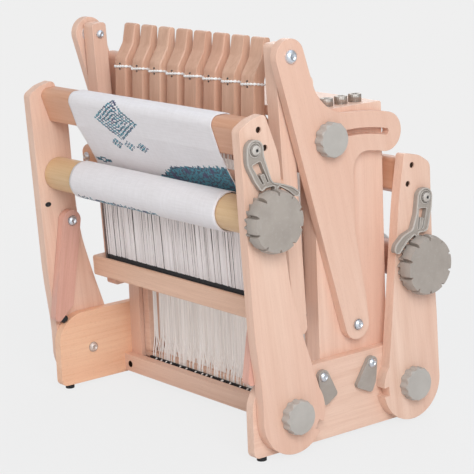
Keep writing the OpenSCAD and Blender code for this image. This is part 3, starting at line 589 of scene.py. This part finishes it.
def sideOf(path, k):
    a, b = path[max(k - 1, 0)], path[min(k + 1, len(path) - 1)]
    length = math.hypot(b[0] - a[0], b[1] - a[1])
    return (-(b[1] - a[1]) / length, (b[0] - a[0]) / length)


def hangingCloth():
    size = clothSize
    near = size["gap"] + 0.6
    grown = [inward(beam[k - 1], beam[k], beam[(k + 1) % 4], -near)[0] for k in range(4)]
    low = inward(beam[2], beam[3], beam[0], beam[3][2])[0]
    bend = beam[3][2] + near
    reach = clothRoller["wound"] + near
    awayY, awayZ = clothRoller["y"] - low[0], clothRoller["z"] - low[1]
    turn = math.degrees(math.atan(awayY / -awayZ) + math.asin((bend + reach) / math.hypot(awayY, awayZ)))
    down = unit(grown[1], grown[2])
    face = unit(beam[0], beam[3])
    lay = [(grown[1][0] + down[0] * 16, grown[1][1] + down[1] * 16)]
    lay += cornerPoints(grown[2], grown[1], grown[0], beam[1][2] + near)
    lay += cornerPoints(grown[1], grown[0], grown[3], beam[0][2] + near)
    lay += arcPoints(low, bend, 180 + math.degrees(math.atan(face[0] / -face[1])), 180 + turn, 3)
    lay += arcPoints((clothRoller["y"], clothRoller["z"]), reach, turn, turn, 5)[:1]
    path = spaced(lay, 3.0)
    length = runs(path)
    free = runs(spaced(lay[:-1], 3.0))[-1]
    shape = Shape()
    sheets = {1: [], -1: []}
    flats = []
    for k, (y, z) in enumerate(path):
        sideY, sideZ = sideOf(path, k)
        share = min(max((length[k] - free) / (length[-1] - free), 0.0), 1.0)
        swell = size["wave"] * math.sin(math.pi * share)
        flat = []
        rows = {1: [], -1: []}
        for j in range(size["columns"] + 1):
            x = size["left"] + (size["right"] - size["left"]) * j / size["columns"]
            ripple = swell * (noise.noise((x / 46, length[k] / 80, 1.7)) + 0.5 * noise.noise((x / 17, length[k] / 60, 4.0)))
            ripple += 0.12 * noise.noise((x / 9, length[k] / 12, 8.0))
            edge = (j / size["columns"] - 0.5) * 2
            pull = 1.2 * math.sin(math.pi * share) * -edge * abs(edge) ** 5 + (0.35 * noise.noise((length[k] / 6, 3.0 + edge, 0.0)) if abs(edge) > 0.98 else 0.0)
            flat.append(((x - size["left"]) / 1000, length[k] / 1000))
            for way in (1, -1):
                lift = ripple - abs(ripple) * 0.0 + way * size["thick"] / 2
                rows[way].append((x + pull, y - sideY * lift, z - sideZ * lift))
        flats.append(flat)
        for way in (1, -1):
            sheets[way].append(rows[way])
    loop = [up + down[::-1] for up, down in zip(sheets[1], sheets[-1])]
    flatLoop = [row + row[::-1] for row in flats]
    shape.grid(loop, closedColumns=True, flats=flatLoop)
    for row, way in ((0, 1), (-1, -1)):
        top, low = sheets[1][row], sheets[-1][row]
        shape.grid([top, low][::way], flats=[flats[row], flats[row]])
    wide = (size["right"] - size["left"]) / 1000
    long = length[-1] / 1000
    fall = free / 1000
    pattern = clothMaterial(
        "patternedCloth",
        diamonds=[
            (0.091, 0.0630, 0.044, 0.0270, 5.0),
            (0.074, 0.0965, 0.011, 0.0075, 2.0),
            (0.100, 0.0965, 0.011, 0.0075, 2.0),
            (0.126, 0.0965, 0.011, 0.0075, 2.0),
            (0.020, 0.1290, 0.022, 0.0042, 1.0),
        ],
        border={
            "from": 0.125, "to": wide - 0.001, "taper": 0.045, "low": 0.0185, "high": 0.0395, "end": long - 0.004,
            "tooth": 0.0063, "rise": 0.0016, "ragged": 0.007, "open": 0.1,
        },
    )
    made = shape.piece("hangingCloth", pattern, "front_frame", "cloth", ["cloth"])
    return turn


def woundCloth(turn):
    size = clothSize
    thick = 0.86
    outer = clothRoller["wound"] - thick / 2
    inner = clothRoller["wood"] + 0.35 + thick / 2
    turns = (outer - inner) / (thick + 0.1)
    steps = int(turns * 64)
    shape = Shape()
    rows = []
    flats = []
    run = 0.0
    last = None
    for k in range(steps + 1):
        spin = math.radians(turn + 6) - 2 * math.pi * turns * k / steps
        radius = outer + (inner - outer) * k / steps + max(0.0, 0.55 - k * 0.05)
        spot = (clothRoller["y"] + radius * math.cos(spin), clothRoller["z"] + radius * math.sin(spin))
        run += math.hypot(spot[0] - last[0], spot[1] - last[1]) if last else 0.0
        last = spot
        drift = 1.1 * noise.noise((k / 30, 2.0, 0.0)) + 0.5 * noise.noise((k / 5, 7.0, 0.0))
        row = []
        flat = []
        columns = 60
        for way in (1, -1):
            for j in (range(columns + 1) if way == 1 else range(columns, -1, -1)):
                x = size["left"] - 3.2 + (size["right"] - size["left"] + 6.4) * j / columns + drift
                full = radius + way * thick / 2 + 0.12 * noise.noise((x / 25, k / 12, 0.0))
                row.append((x, clothRoller["y"] + full * math.cos(spin), clothRoller["z"] + full * math.sin(spin)))
                flat.append((max(0.0, (x - size["left"]) / 1000), run / 1000))
        rows.append(row)
        flats.append(flat)
    shape.grid(rows, closedColumns=True, flats=flats)
    for row, flat in ((rows[0], flats[0]), (rows[-1], flats[-1])):
        half = len(row) // 2
        ends = [row[:half], row[half:][::-1]]
        if row is rows[0]:
            ends = ends[::-1]
        shape.grid(ends, flats=[flat[:half], flat[half:][::-1]])
    wide = (size["right"] - size["left"] + 6.4) / 1000
    cloth = clothMaterial(
        "woundClothWeave",
        border={
            "from": 0.002, "to": 0.168, "taper": 0.004, "low": 0.0120, "high": 0.0090, "end": 0.0700, "past": 0.0,
            "tooth": 0.0063, "rise": 0.0026, "ragged": 0.005, "open": 0.42, "edge": wide - 0.0076, "edgeEnd": 0.034,
        },
    )
    made = shape.piece("woundCloth", cloth, "cloth_winder", "cloth", ["cloth_roll"])
    run / 1000


turnOnRoll = hangingCloth()
woundCloth(turnOnRoll)
print("cloth ready")

# Warp wound on the back roller, kept apart by thin sticks
warpRoller = {"y": 174.0, "z": 192.0, "wound": 26.6, "wood": 21.0, "left": -143.0, "right": 149.0, "gap": 1.9}


def warpRoll():
    look = warpRoller
    shape = Shape()
    count = int((look["right"] - look["left"]) / look["gap"])
    profile = [(look["wood"] + 0.2, 0.0)]
    for k in range(count):
        start = k * look["gap"]
        ends = min(1.0, (k + 1) / 3, (count - k) / 3)
        radius = look["wood"] + (look["wound"] - look["wood"]) * ends
        profile += [(radius - 0.45, start), (radius, start + look["gap"] * 0.3), (radius, start + look["gap"] * 0.7)]
    profile.append((look["wood"] + 0.2, count * look["gap"]))
    rows = []
    for radius, along in profile:
        row = []
        for s in range(56):
            spin = 2 * math.pi * s / 56
            size = radius + 0.3 * noise.noise((along / 30, math.cos(spin) * 2, math.sin(spin) * 2))
            row.append((look["left"] + along, look["y"] + size * math.cos(spin), look["z"] + size * math.sin(spin)))
        rows.append(row)
    shape.grid(rows, closedColumns=True)
    shape.piece("woundWarp", white, "warp_winder", "warp", ["warp_roll"])
    sticks = Shape()
    for k in range(4):
        spin = 0.5 + k * 1.7
        r = look["wood"] + 2.2
        y, z = look["y"] + r * math.cos(spin), look["z"] + r * math.sin(spin)
        tangent = (-math.sin(spin), math.cos(spin))
        rows = []
        for x in (look["left"] - 9, look["right"] + 6):
            rows.append([
                (x, y + tangent[0] * a + math.cos(spin) * b, z + tangent[1] * a + math.sin(spin) * b)
                for a, b in ((-5, -0.6), (5, -0.6), (5, 0.6), (-5, 0.6))
            ])
        start = sticks.grid(rows, closedColumns=True)
        sticks.faces.append([start + n for n in (3, 2, 1, 0)])
        sticks.faces.append([start + n for n in (4, 5, 6, 7)])
    sticks.piece("warpSticks", woods["x"], "warp_winder", "wood", smooth=False)


warpRoll()
print("warp roll ready")

# The beater hangs from its pivot and leans a little
beater = {"y": 0.7, "z": 454.5, "lean": 2.5, "arm": 20.5, "rail": 19.0, "reedWide": 332.0, "reedTall": 122.0, "low": -288.0}


def hung(x, y, z):
    a = math.radians(beater["lean"])
    return (x, beater["y"] + y * math.cos(a) - z * math.sin(a), beater["z"] + y * math.sin(a) + z * math.cos(a))


def hungShape(shape):
    shape.points = [hung(*p) for p in shape.points]
    return shape


reedLook = {"dents": 132, "dentThick": 0.45, "dentDeep": 4.2, "band": 12.0, "endBar": 5.0, "threads": 290, "from": -157.0, "to": 150.0}
reedY = -beater["arm"] / 2 - beater["rail"] / 2


def reed():
    look = reedLook
    half = beater["reedWide"] / 2
    low, high = beater["low"], beater["low"] + beater["reedTall"]
    bands = Shape()
    for z in (low, high - look["band"]):
        rows = []
        for x in (-half + 4, half - 4):
            rows.append([(x, reedY + 4 * c, z + look["band"] / 2 + 6 * s) for c, s in (
                (-1, -0.8), (-0.7, -1), (0.7, -1), (1, -0.8), (1, 0.8), (0.7, 1), (-0.7, 1), (-1, 0.8))])
        start = bands.grid(rows, closedColumns=True)
        bands.faces.append([start + n for n in range(7, -1, -1)])
        bands.faces.append([start + n for n in range(8, 16)])
    hungShape(bands).piece("reedBands", black, "beater", "steel", ["reed"], smooth=False)
    wires = Shape()
    inner = half - look["endBar"]
    for k in range(look["dents"]):
        x = -inner + (k + 0.5) * 2 * inner / look["dents"]
        wires.box((x - look["dentThick"] / 2, reedY - look["dentDeep"] / 2, low + look["band"] - 1), (x + look["dentThick"] / 2, reedY + look["dentDeep"] / 2, high - look["band"] + 1))
    for x in (-half, inner):
        wires.box((x, reedY - 3, low + look["band"] - 1), (x + look["endBar"], reedY + 3, high - look["band"] + 1))
    for x in (-half, half - 5):
        for z in (low, high - look["band"]):
            wires.box((x, reedY - 4, z), (x + 5, reedY + 4, z + look["band"]))
    hungShape(wires).piece("reedDents", steel("dentSteel", colour(150, 146, 144), colour(110, 106, 105), 0.42), "beater", "steel", smooth=False)
    threads = Shape()
    dice = random.Random(11)
    for k in range(look["threads"]):
        x = look["from"] + (look["to"] - look["from"]) * (k + dice.uniform(0.15, 0.85)) / look["threads"]
        drift = dice.uniform(-1.6, 1.6)
        depth = reedY - 2.9 - dice.uniform(0.0, 2.2)
        path = [(x + drift, depth, high - look["band"] + 3), (x + drift * 0.6, depth - 0.6, high - 40), (x + drift * 0.1, depth - 0.4, low + 45), (x, depth, low + look["band"] - 1)]
        thick = dice.uniform(0.36, 0.56)
        threads.tube(path, [thick, thick, thick * 1.3, thick * 1.6], 4)
    hungShape(threads).piece("reedWarp", warpYarn, "beater", "warp")


reed()
print("reed ready")

# Shafts: a wooden frame with string heddles on each
shaftLook = {"first": 49.75, "pitch": 12.0, "thick": 7.6, "bar": 17.0, "foot": 8.0, "low": 27.0, "high": 330.0, "half": 172.6, "stick": 15.5, "heddles": 78, "eye": 180.0, "bunch": 3.2, "bunchGap": 34.0}


def shafts():
    look = shaftLook
    dice = random.Random(5)
    for i in range(8):
        y = look["first"] + i * look["pitch"]
        wooden = Shape()
        for z, tall in ((look["low"], look["foot"]), (look["high"] - look["bar"], look["bar"])):
            wooden.box((-look["half"], y - look["thick"] / 2, z), (look["half"], y + look["thick"] / 2, z + tall))
        for x in (-look["half"], look["half"] - look["stick"]):
            wooden.box((x, y - look["thick"] / 2, look["low"] + look["foot"]), (x + look["stick"], y + look["thick"] / 2, look["high"] - look["bar"]))
        made = wooden.piece("shaftFrame%d" % (i + 1), woods["x"], "shaft_%d" % (i + 1), "wood", ["shaft_%d" % (i + 1)], smooth=False)
        softened(made, 0.0009)
        strings = Shape()
        span = 2 * (look["half"] - look["stick"]) - 12
        for k in range(look["heddles"]):
            x = -span / 2 + span * (k + dice.uniform(0.05, 0.95)) / look["heddles"]
            x += look["bunch"] * math.sin(x * 2 * math.pi / look["bunchGap"] + 0.4 * i)
            eyeX = x + dice.uniform(-2.2, 2.2)
            lean = dice.uniform(-0.5, 0.5)
            for side in (-1, 1):
                gap = side * 0.8
                deep = side * (look["thick"] / 2 + 0.5)
                path = [
                    (x, y + deep, look["low"] + 1),
                    (x, y + deep, look["low"] + look["foot"]),
                    (x + gap * 0.4 + lean, y + gap * 0.8, look["low"] + look["foot"] + 22),
                    (eyeX + gap * 0.3, y + gap * 0.4, look["eye"] - 9),
                    (eyeX + gap * 1.4, y, look["eye"]),
                    (eyeX + gap * 0.3, y + gap * 0.4, look["eye"] + 9),
                    (x + gap * 0.4 - lean, y + gap * 0.8, look["high"] - look["bar"] - 22),
                    (x, y + deep, look["high"] - look["bar"]),
                    (x, y + deep, look["high"] - 1),
                ]
                strings.tube(path, 0.62, 4)
        # a black bar at each shaft's foot: partly the heddle bar, partly painted shade filling the gap seen above
        # the beater rail
        bar = Shape()
        bar.box((-span / 2 - 4, y - look["thick"] / 2 - 3.6, look["low"] + 0.5), (span / 2 + 4, y - look["thick"] / 2 - 0.6, look["low"] + 3.6))
        bar.piece("heddleBar%d" % (i + 1), black, "shaft_%d" % (i + 1), "steel", smooth=False)
        for k in range(22):
            x = -span / 2 + span * (k + dice.uniform(0.0, 1.0)) / 22
            strings.tube([(x - 1.6, y - look["thick"] / 2 - 4.0, look["low"] + 2.0), (x + 1.2, y - look["thick"] / 2 - 4.0, look["low"] + 3.6)], 0.9, 5)
        strings.piece("heddles%d" % (i + 1), heddleYarn, "shaft_%d" % (i + 1), "warp")


shafts()
print("shafts ready")

# A white cord goes round each lever, with two small dark domes at its front painted as the shade of the holes the
# cord passes through
leverLook = {"pitch": 36.0, "wide": 23.0, "height": 416.0, "front": -0.4, "back": 15.4, "cord": 1.6, "bead": 2.6}


def lashings():
    look = leverLook
    holeShadeFinish = leverHoleShadeMaterial()
    half = look["wide"] / 2
    front, back = look["front"], look["back"]
    corners = [
        (-half + 1.5, front - 0.9, 0.7), (half - 1.5, front - 0.9, 2.5), (half + 0.8, front + 1.2, 2.4), (half + 0.8, back - 2, 0.1),
        (half - 1.5, back + 0.9, -0.1), (-half + 1.5, back + 0.9, -0.5), (-half - 0.8, back - 2, -0.2), (-half - 0.8, front + 1.2, 0.5),
    ]
    beads = []
    for k, corner in enumerate(corners):
        start, end = Vector(corner), Vector(corners[(k + 1) % len(corners)])
        count = max(1, round((end - start).length / look["bead"]))
        beads += [start.lerp(end, n / count) for n in range(count)]
    for i in range(1, 9):
        middle = Vector(((i - 4.5) * look["pitch"], 0, look["height"]))
        loop = Shape()
        loop.tube([middle + p for p in beads], [look["cord"] * (1.15 if n % 2 else 0.45) for n in range(len(beads))], 8, closed=True)
        loop.piece("leverCord%d" % i, cord, "lever_%d" % i)
        holeShadeShape = Shape()
        for lift in (-1.6, 5.0):
            holeShadeShape.turned([(0.1, 1.1), (0.8, 0.9), (1.1, 0.3), (1.1, -0.5)], middle + Vector((0, front, lift)), (0, -1, 0), 12)
        holeShadeShape.piece("leverTie%d" % i, holeShadeFinish, "lever_%d" % i)


# dark domes: painted shade for the small holes at each lever's front
def leverHoleShadeMaterial():
    g = Graph("leverHoleShade", IOR=1.5)
    spot = g.place()
    cloud = g.blur(spot, 500, 2.0)
    return g.finish(Base_Color=g.mix(cloud, colour(38, 37, 39), colour(70, 68, 68)), Roughness=0.6 + cloud * 0.1, Normal=g.bump(cloud, 0.0001, 0.5))


lashings()
print("lever cords ready")

# Pawls: a flat plate with a raised lip along its outline and round its window; the lips use a paler taupe, a painted
# highlight where they catch the light
pawlLook = {"low": 217.4, "face": 222.9, "high": 224.0, "lip": 1.5, "slotLip": 0.9}
pawlPlaces = {
    "frontPawl": {
        "node": "front_pawl", "roller": (-50.5, 281.0), "head": (-20.0, 81.5), "spread": 1,
        "outline": [
            (-31.2, 92.7, 10.9), (-8.8, 92.7, 10.9), (-8.4, 74, 20), (0.8, 46.6, 4), (4.2, 42.4, 5), (17, 39.2, 14), (30.5, 34.2, 14),
            (40.6, 27.2, 2.5), (40.2, 21.6, 2.5), (34.6, 22.2, 2.5), (24.5, 30.6, 20), (12, 37.4, 1), (8.4, 33.5, 0.4), (5.7, 33.8, 0.4),
            (4.6, 38.7, 1), (-7.0, 38.4, 0.5), (-13.4, 34.6, 3), (-22.0, 46.5, 18), (-31.8, 66, 24),
        ],
        "window": [
            (-25.2, 65, 1.5), (-13, 68.5, 1.5), (-2.2, 44, 0.5), (-4.2, 43.4, 0.5), (-8.6, 54.2, 1), (-14.2, 52.8, 1), (-9.0, 42.4, 0.5),
            (-10.8, 42.0, 0.5),
        ],
    },
    "rearPawl": {
        "node": "rear_pawl", "roller": (174.0, 192.0), "head": (7.0, 79.5), "spread": -1,
        "outline": [
            (-4.1, 90.6, 10.9), (18.1, 90.6, 10.9), (16.4, 66, 30), (9.4, 40.2, 4), (4.2, 38.7, 1), (-4.6, 38.9, 1), (-5.7, 33.8, 0.4),
            (-8.4, 33.5, 0.4), (-11.8, 37.6, 1), (-23.7, 31.0, 20), (-36.2, 18.4, 4), (-44.2, 20.6, 4), (-42.2, 29.6, 10),
            (-29.8, 39.4, 24), (-15.2, 43.9, 5), (-8.4, 61, 30),
        ],
        "window": [
            (-3.4, 67.5, 1.5), (9.0, 66.3, 1.5), (2.6, 43, 0.5), (0.6, 43, 0.5), (4.0, 55.0, 1), (-1.8, 56.2, 1), (-3.6, 43, 0.5), (-5.6, 43, 0.5),
        ],
    },
}


def roundedLoop(corners):
    made = []
    for k, (y, z, radius) in enumerate(corners):
        spot = Vector((y, z))
        first = (Vector(corners[k - 1][:2]) - spot).normalized()
        second = (Vector(corners[(k + 1) % len(corners)][:2]) - spot).normalized()
        half = first.angle(second) / 2
        middle = spot + (first + second).normalized() * radius / math.sin(half)
        start = spot + first * radius / math.tan(half) - middle
        turn = start.angle_signed(spot + second * radius / math.tan(half) - middle)
        steps = max(2, math.ceil(abs(math.degrees(turn)) / 10))
        for n in range(steps + 1):
            a = -turn * n / steps
            made.append(middle + Vector((start.x * math.cos(a) - start.y * math.sin(a), start.x * math.sin(a) + start.y * math.cos(a))))
    return made


def insetLoop(loop, reach):
    made = []
    for k, spot in enumerate(loop):
        ahead = (loop[(k + 1) % len(loop)] - loop[k - 1]).normalized()
        made.append(spot + Vector((-ahead.y, ahead.x)) * reach)
    return made


def lipShape(shape, loop, width, low, high, where):
    soft = 0.25 * width
    rings = []
    for reach, lift in ((0.0, low), (0.0, high - soft), (soft, high), (width - soft, high), (width, high - soft), (width, low)):
        rings.append([where(p, lift) for p in insetLoop(loop, reach)])
    shape.grid(rings, closedRows=True, closedColumns=True)


def pawls():
    look = pawlLook
    for name, place in pawlPlaces.items():
        y, z = place["roller"]

        def where(p, x):
            return (x, y + p[0], z + p[1])
        outer = roundedLoop(place["outline"])
        window = roundedLoop(place["window"])
        shape = Shape()
        flat = tessellate_polygon([[Vector((p[0], p[1], 0)) for p in loop] for loop in (outer, window)])
        for x in (look["low"], look["face"]):
            start = len(shape.points)
            shape.points.extend(where(p, x) for p in outer + window)
            shape.faces.extend([start + n for n in corner] for corner in flat)
        for loop in (outer, window):
            shape.grid([[where(p, look["low"]) for p in loop], [where(p, look["face"]) for p in loop]], closedColumns=True)
        made = shape.piece(name, deepTaupe, place["node"], "taupe_plastic", [place["node"]], smooth=False)
        lips = Shape()
        lipShape(lips, outer, -look["lip"], look["face"] - 0.2, look["high"], where)
        lipShape(lips, window, look["slotLip"], look["face"] - 0.2, look["high"] - 0.2, where)
        head = Vector(place["head"])
        around = [head + Vector((math.cos(a), math.sin(a))) * 8.4 for a in (2 * math.pi * n / 48 for n in range(48))]
        lipShape(lips, around, 1.1, look["face"] - 0.2, look["high"], where)
        # paler taupe on the lips: painted highlight along the raised rims
        lips.piece(name + "Lips", paleTaupe, place["node"], "taupe_plastic", smooth=False)


pawls()
print("pawls ready")

# Fine ribs round the cord guides
guideLook = {"x": 172.0, "first": 77.5, "pitch": 21.6, "low": 387.2, "high": 395.4, "radius": 7.55, "ribs": 26}


def guideRibs():
    look = guideLook
    for mirrored, label in ((1, "Right"), (-1, "Left")):
        sleeves = Shape()
        for k in range(3):
            rows = []
            for z, grow in ((look["low"], 0.0), (look["high"], 0.0), (look["high"] + 0.7, -0.7), (look["high"] + 0.7, -3.9), (look["low"] + 2, -4.1)):
                rows.append([])
                for s in range(look["ribs"] * 4):
                    a = 2 * math.pi * s / (look["ribs"] * 4)
                    reach = look["radius"] + grow + (0.22 * math.cos(look["ribs"] * a) if grow == 0.0 else 0.0)
                    rows[-1].append((mirrored * look["x"] + reach * math.cos(a), look["first"] + k * look["pitch"] + reach * math.sin(a), z))
            sleeves.grid(rows, closedRows=True, closedColumns=True)
        sleeves.piece("guideRibs" + label, pewter, "root", "steel")


guideRibs()
print("cord guides ready")

# Socket heads over the plain domes of the bolts
bolts = [  # name, body, x, outwards, y, z, radius, height
    ("plateBolt", "root", 203.4, 1, 89.0, 132.0, 6.5, 3.6),
    ("hingeBolt", "beater_plates", 202.6, 1, 0.7, 454.5, 7.8, 4.8),
    ("armBolt", "beater_plates", 168.0, -1, 0.7, 454.5, 5.0, 3.0),
    ("strutBolt", "front_frame", 191.0, -1, -42.0, 220.0, 6.5, 3.6),
    ("frontClampBolt", "front_knobs", 190.6, -1, -21.5, 49.0, 6.5, 3.6),
    ("rearClampBolt", "rear_knobs", 190.6, -1, 160.5, 48.5, 6.5, 3.6),
    ("frontCatchScrew", "front_catches", 208.4, 1, 30.0, 82.0, 5.5, 2.6),
    ("rearCatchScrew", "rear_catches", 208.4, 1, 105.0, 83.0, 5.5, 2.6),
]


def socketHead(shape, centre, way, radius, height):
    way = Vector(way)
    hexSize = radius * 0.42
    dome = [(radius, 0.0), (radius + 0.12, 0.5), (radius + 0.1, height * 0.3), (radius * 0.93, height * 0.62), (radius * 0.74, height * 0.9), (radius * 0.56, height + 0.85)]
    shape.turned(dome, centre, way, 36)
    first = way.orthogonal().normalized()
    second = way.cross(first)

    def ring(size, lift, sides):
        made = []
        for s in range(36):
            a = 2 * math.pi * s / 36
            reach = size
            if sides == 6:
                part = (a % (math.pi / 3)) - math.pi / 6
                reach = size * math.cos(math.pi / 6) / math.cos(part)
            made.append(Vector(centre) + way * lift + (first * math.cos(a) + second * math.sin(a)) * reach)
        return made
    top = height + 0.85
    shape.grid([ring(radius * 0.56, top, 0), ring(hexSize, top, 6), ring(hexSize, height + 0.05, 6), ring(hexSize * 0.1, height + 0.05, 6)], closedColumns=True)


railLook = {"front": 27.5, "screw": 17.5}


def socketHeads():
    for name, body, x, way, y, z, radius, height in bolts:
        for mirrored, label in ((1, "Right"), (-1, "Left")):
            head = Shape()
            socketHead(head, (mirrored * x, y, z), (mirrored * way, 0, 0), radius, height)
            head.piece(name + label, pale if name.endswith("ClampBolt") else bright, body, "steel")
    for label, y, z, body in (("Front", -70.5, 362.5, "front_frame"), ("Rear", 181.0, 271.5, "rear_frame")):
        head = Shape()
        socketHead(head, (224.3, y, z), (1, 0, 0), 6.0, 3.0)
        head.piece("pawlScrew" + label, paleTaupe, body, "taupe_plastic")
        # a black disc in the screw head's socket: painted shade for the recess
        dot = Shape()
        dot.turned([(0.1, 0.4), (1.2, 0.4), (1.6, 0.1), (1.6, -0.6)], (227.7, y, z), (1, 0, 0), 16)
        dot.piece("pawlScrewDot" + label, black, body, "taupe_plastic")
    for mirrored, label in ((1, "Right"), (-1, "Left")):  # a small black disc on each front post's inner face
        postDisc = Shape()
        postDisc.turned([(0.1, 0.5), (2.4, 0.5), (3.1, 0.1), (3.1, -0.4)], (mirrored * 203.4, -68.4, 243.2), (-mirrored, 0, 0), 20)
        postDisc.points = [(x, -68.4 + (y + 68.4) * 1.45, z) for x, y, z in postDisc.points]
        postDisc.piece("postPlug" + label, black, "front_frame", "rubber")
        # a near-black cup in each base rail screw's countersink: painted shade for the hole
        cup = Shape()
        cup.turned([(0.1, 0.15), (1.6, 0.15), (3.4, 0.35), (4.2, 0.3), (4.5, -0.3)], (mirrored * 179.0, railLook["front"], railLook["screw"]), (0, -1, 0), 24)
        cup.piece("railScrewCup" + label, paintedHoleShade, "root", "steel")
    for mirrored, label in ((1, "Right"), (-1, "Left")):
        head = Shape()
        lean = math.radians(beater["lean"])
        spot = hung(mirrored * 178.4, -beater["arm"] / 2 - beater["rail"], -151.82)
        socketHead(head, spot, (0, -math.cos(lean), -math.sin(lean)), 5.5, 3.5)
        head.piece("railBolt" + label, bright, "beater", "steel")


socketHeads()
print("bolt heads ready")

# Camera, light and floor
cameraLook = {"azimuth": 52.2, "elevation": 12.73, "roll": -2.34, "lens": 145.5, "place": (1.81485, -1.39985, 0.7279), "shift": 0.00105}


def setCamera():
    look = cameraLook
    a, e, r = (math.radians(look[k]) for k in ("azimuth", "elevation", "roll"))
    ahead = Vector((-math.sin(a) * math.cos(e), math.cos(a) * math.cos(e), -math.sin(e)))
    right = Vector((math.cos(a), math.sin(a), 0))
    down = ahead.cross(right)
    turnedRight = right * math.cos(r) - down * math.sin(r)
    turnedDown = right * math.sin(r) + down * math.cos(r)
    data = bpy.data.cameras.new("photoCamera")
    data.lens = look["lens"]
    data.sensor_width = 36
    data.shift_x = look["shift"]
    data.clip_start = 0.05
    data.clip_end = 60
    made = bpy.data.objects.new("photoCamera", data)
    bpy.context.scene.collection.objects.link(made)
    turn = Matrix((turnedRight, -turnedDown, -ahead)).transposed().to_4x4()
    made.matrix_world = Matrix.Translation(look["place"]) @ turn
    bpy.context.scene.camera = made


lampLook = [  # name, place, aim, size, power, tint
    ("keyLamp", (2.2, -1.1, 1.7), (0, 0, 0.22), 1.6, 55, (0.88, 0.95, 1.0)),
    ("frontLamp", (-0.5, -2.4, 1.2), (0, 0, 0.2), 1.8, 6, (1.0, 0.98, 0.96)),
    ("topLamp", (0.0, 0.4, 2.6), (0, 0, 0.2), 2.0, 12, (0.74, 0.96, 1.2)),
    ("backLamp", (-1.6, 1.8, 1.6), (0, 0, 0.2), 1.6, 14, (1.0, 1.0, 1.0)),
]


def setLights():
    for name, place, aim, size, power, tint in lampLook:
        data = bpy.data.lights.new(name, "AREA")
        data.shape = "DISK"
        data.size = size
        data.energy = power
        data.color = tint
        made = bpy.data.objects.new(name, data)
        bpy.context.scene.collection.objects.link(made)
        made.location = place
        made.rotation_euler = (Vector(aim) - Vector(place)).to_track_quat("-Z", "Y").to_euler()
    world = bpy.data.worlds.new("paleRoom")
    bpy.context.scene.world = world
    world.use_nodes = True
    world.node_tree.nodes["Background"].inputs[0].default_value = (1.0, 1.0, 1.0, 1.0)
    world.node_tree.nodes["Background"].inputs[1].default_value = 0.42


floorLook = {"tone": 0.863, "reach": 9.0, "shadow": 0.07, "fade": (0.4, 1.3)}


def setFloor():
    look = floorLook
    mesh = bpy.data.meshes.new("paleFloor")
    r = look["reach"]
    mesh.from_pydata([(-r, -r, 0), (r, -r, 0), (r, r, 0), (-r, r, 0)], [], [(0, 1, 2, 3)])
    made = bpy.data.objects.new("paleFloor", mesh)
    bpy.context.scene.collection.objects.link(made)
    g = Graph("paleFloor", Roughness=0.9)
    tone = look["tone"]
    g.shader.inputs["Base Color"].default_value = (0.8, 0.8, 0.8, 1)
    glow = g.node("ShaderNodeEmission", {}, {0: (tone, tone, tone, 1), 1: 1.0})
    seen = g.node("ShaderNodeLightPath", {}, {}, "Is Camera Ray")
    x, y, z = g.parts(g.place())
    near = g.between((x * x + y * y).root(), *look["fade"], 1.0, 0.0)
    both = g.node("ShaderNodeMixShader", {}, {0: seen * (1 - near * look["shadow"]), 1: Sock(g, g.shader.outputs[0]), 2: glow})
    g.tree.links.new(both.out, g.tree.nodes["Material Output"].inputs[0])
    mesh.materials.append(g.material)


setCamera()
setLights()
setFloor()
bpy.context.scene.view_settings.view_transform = "Standard"
print("camera, light and floor ready")
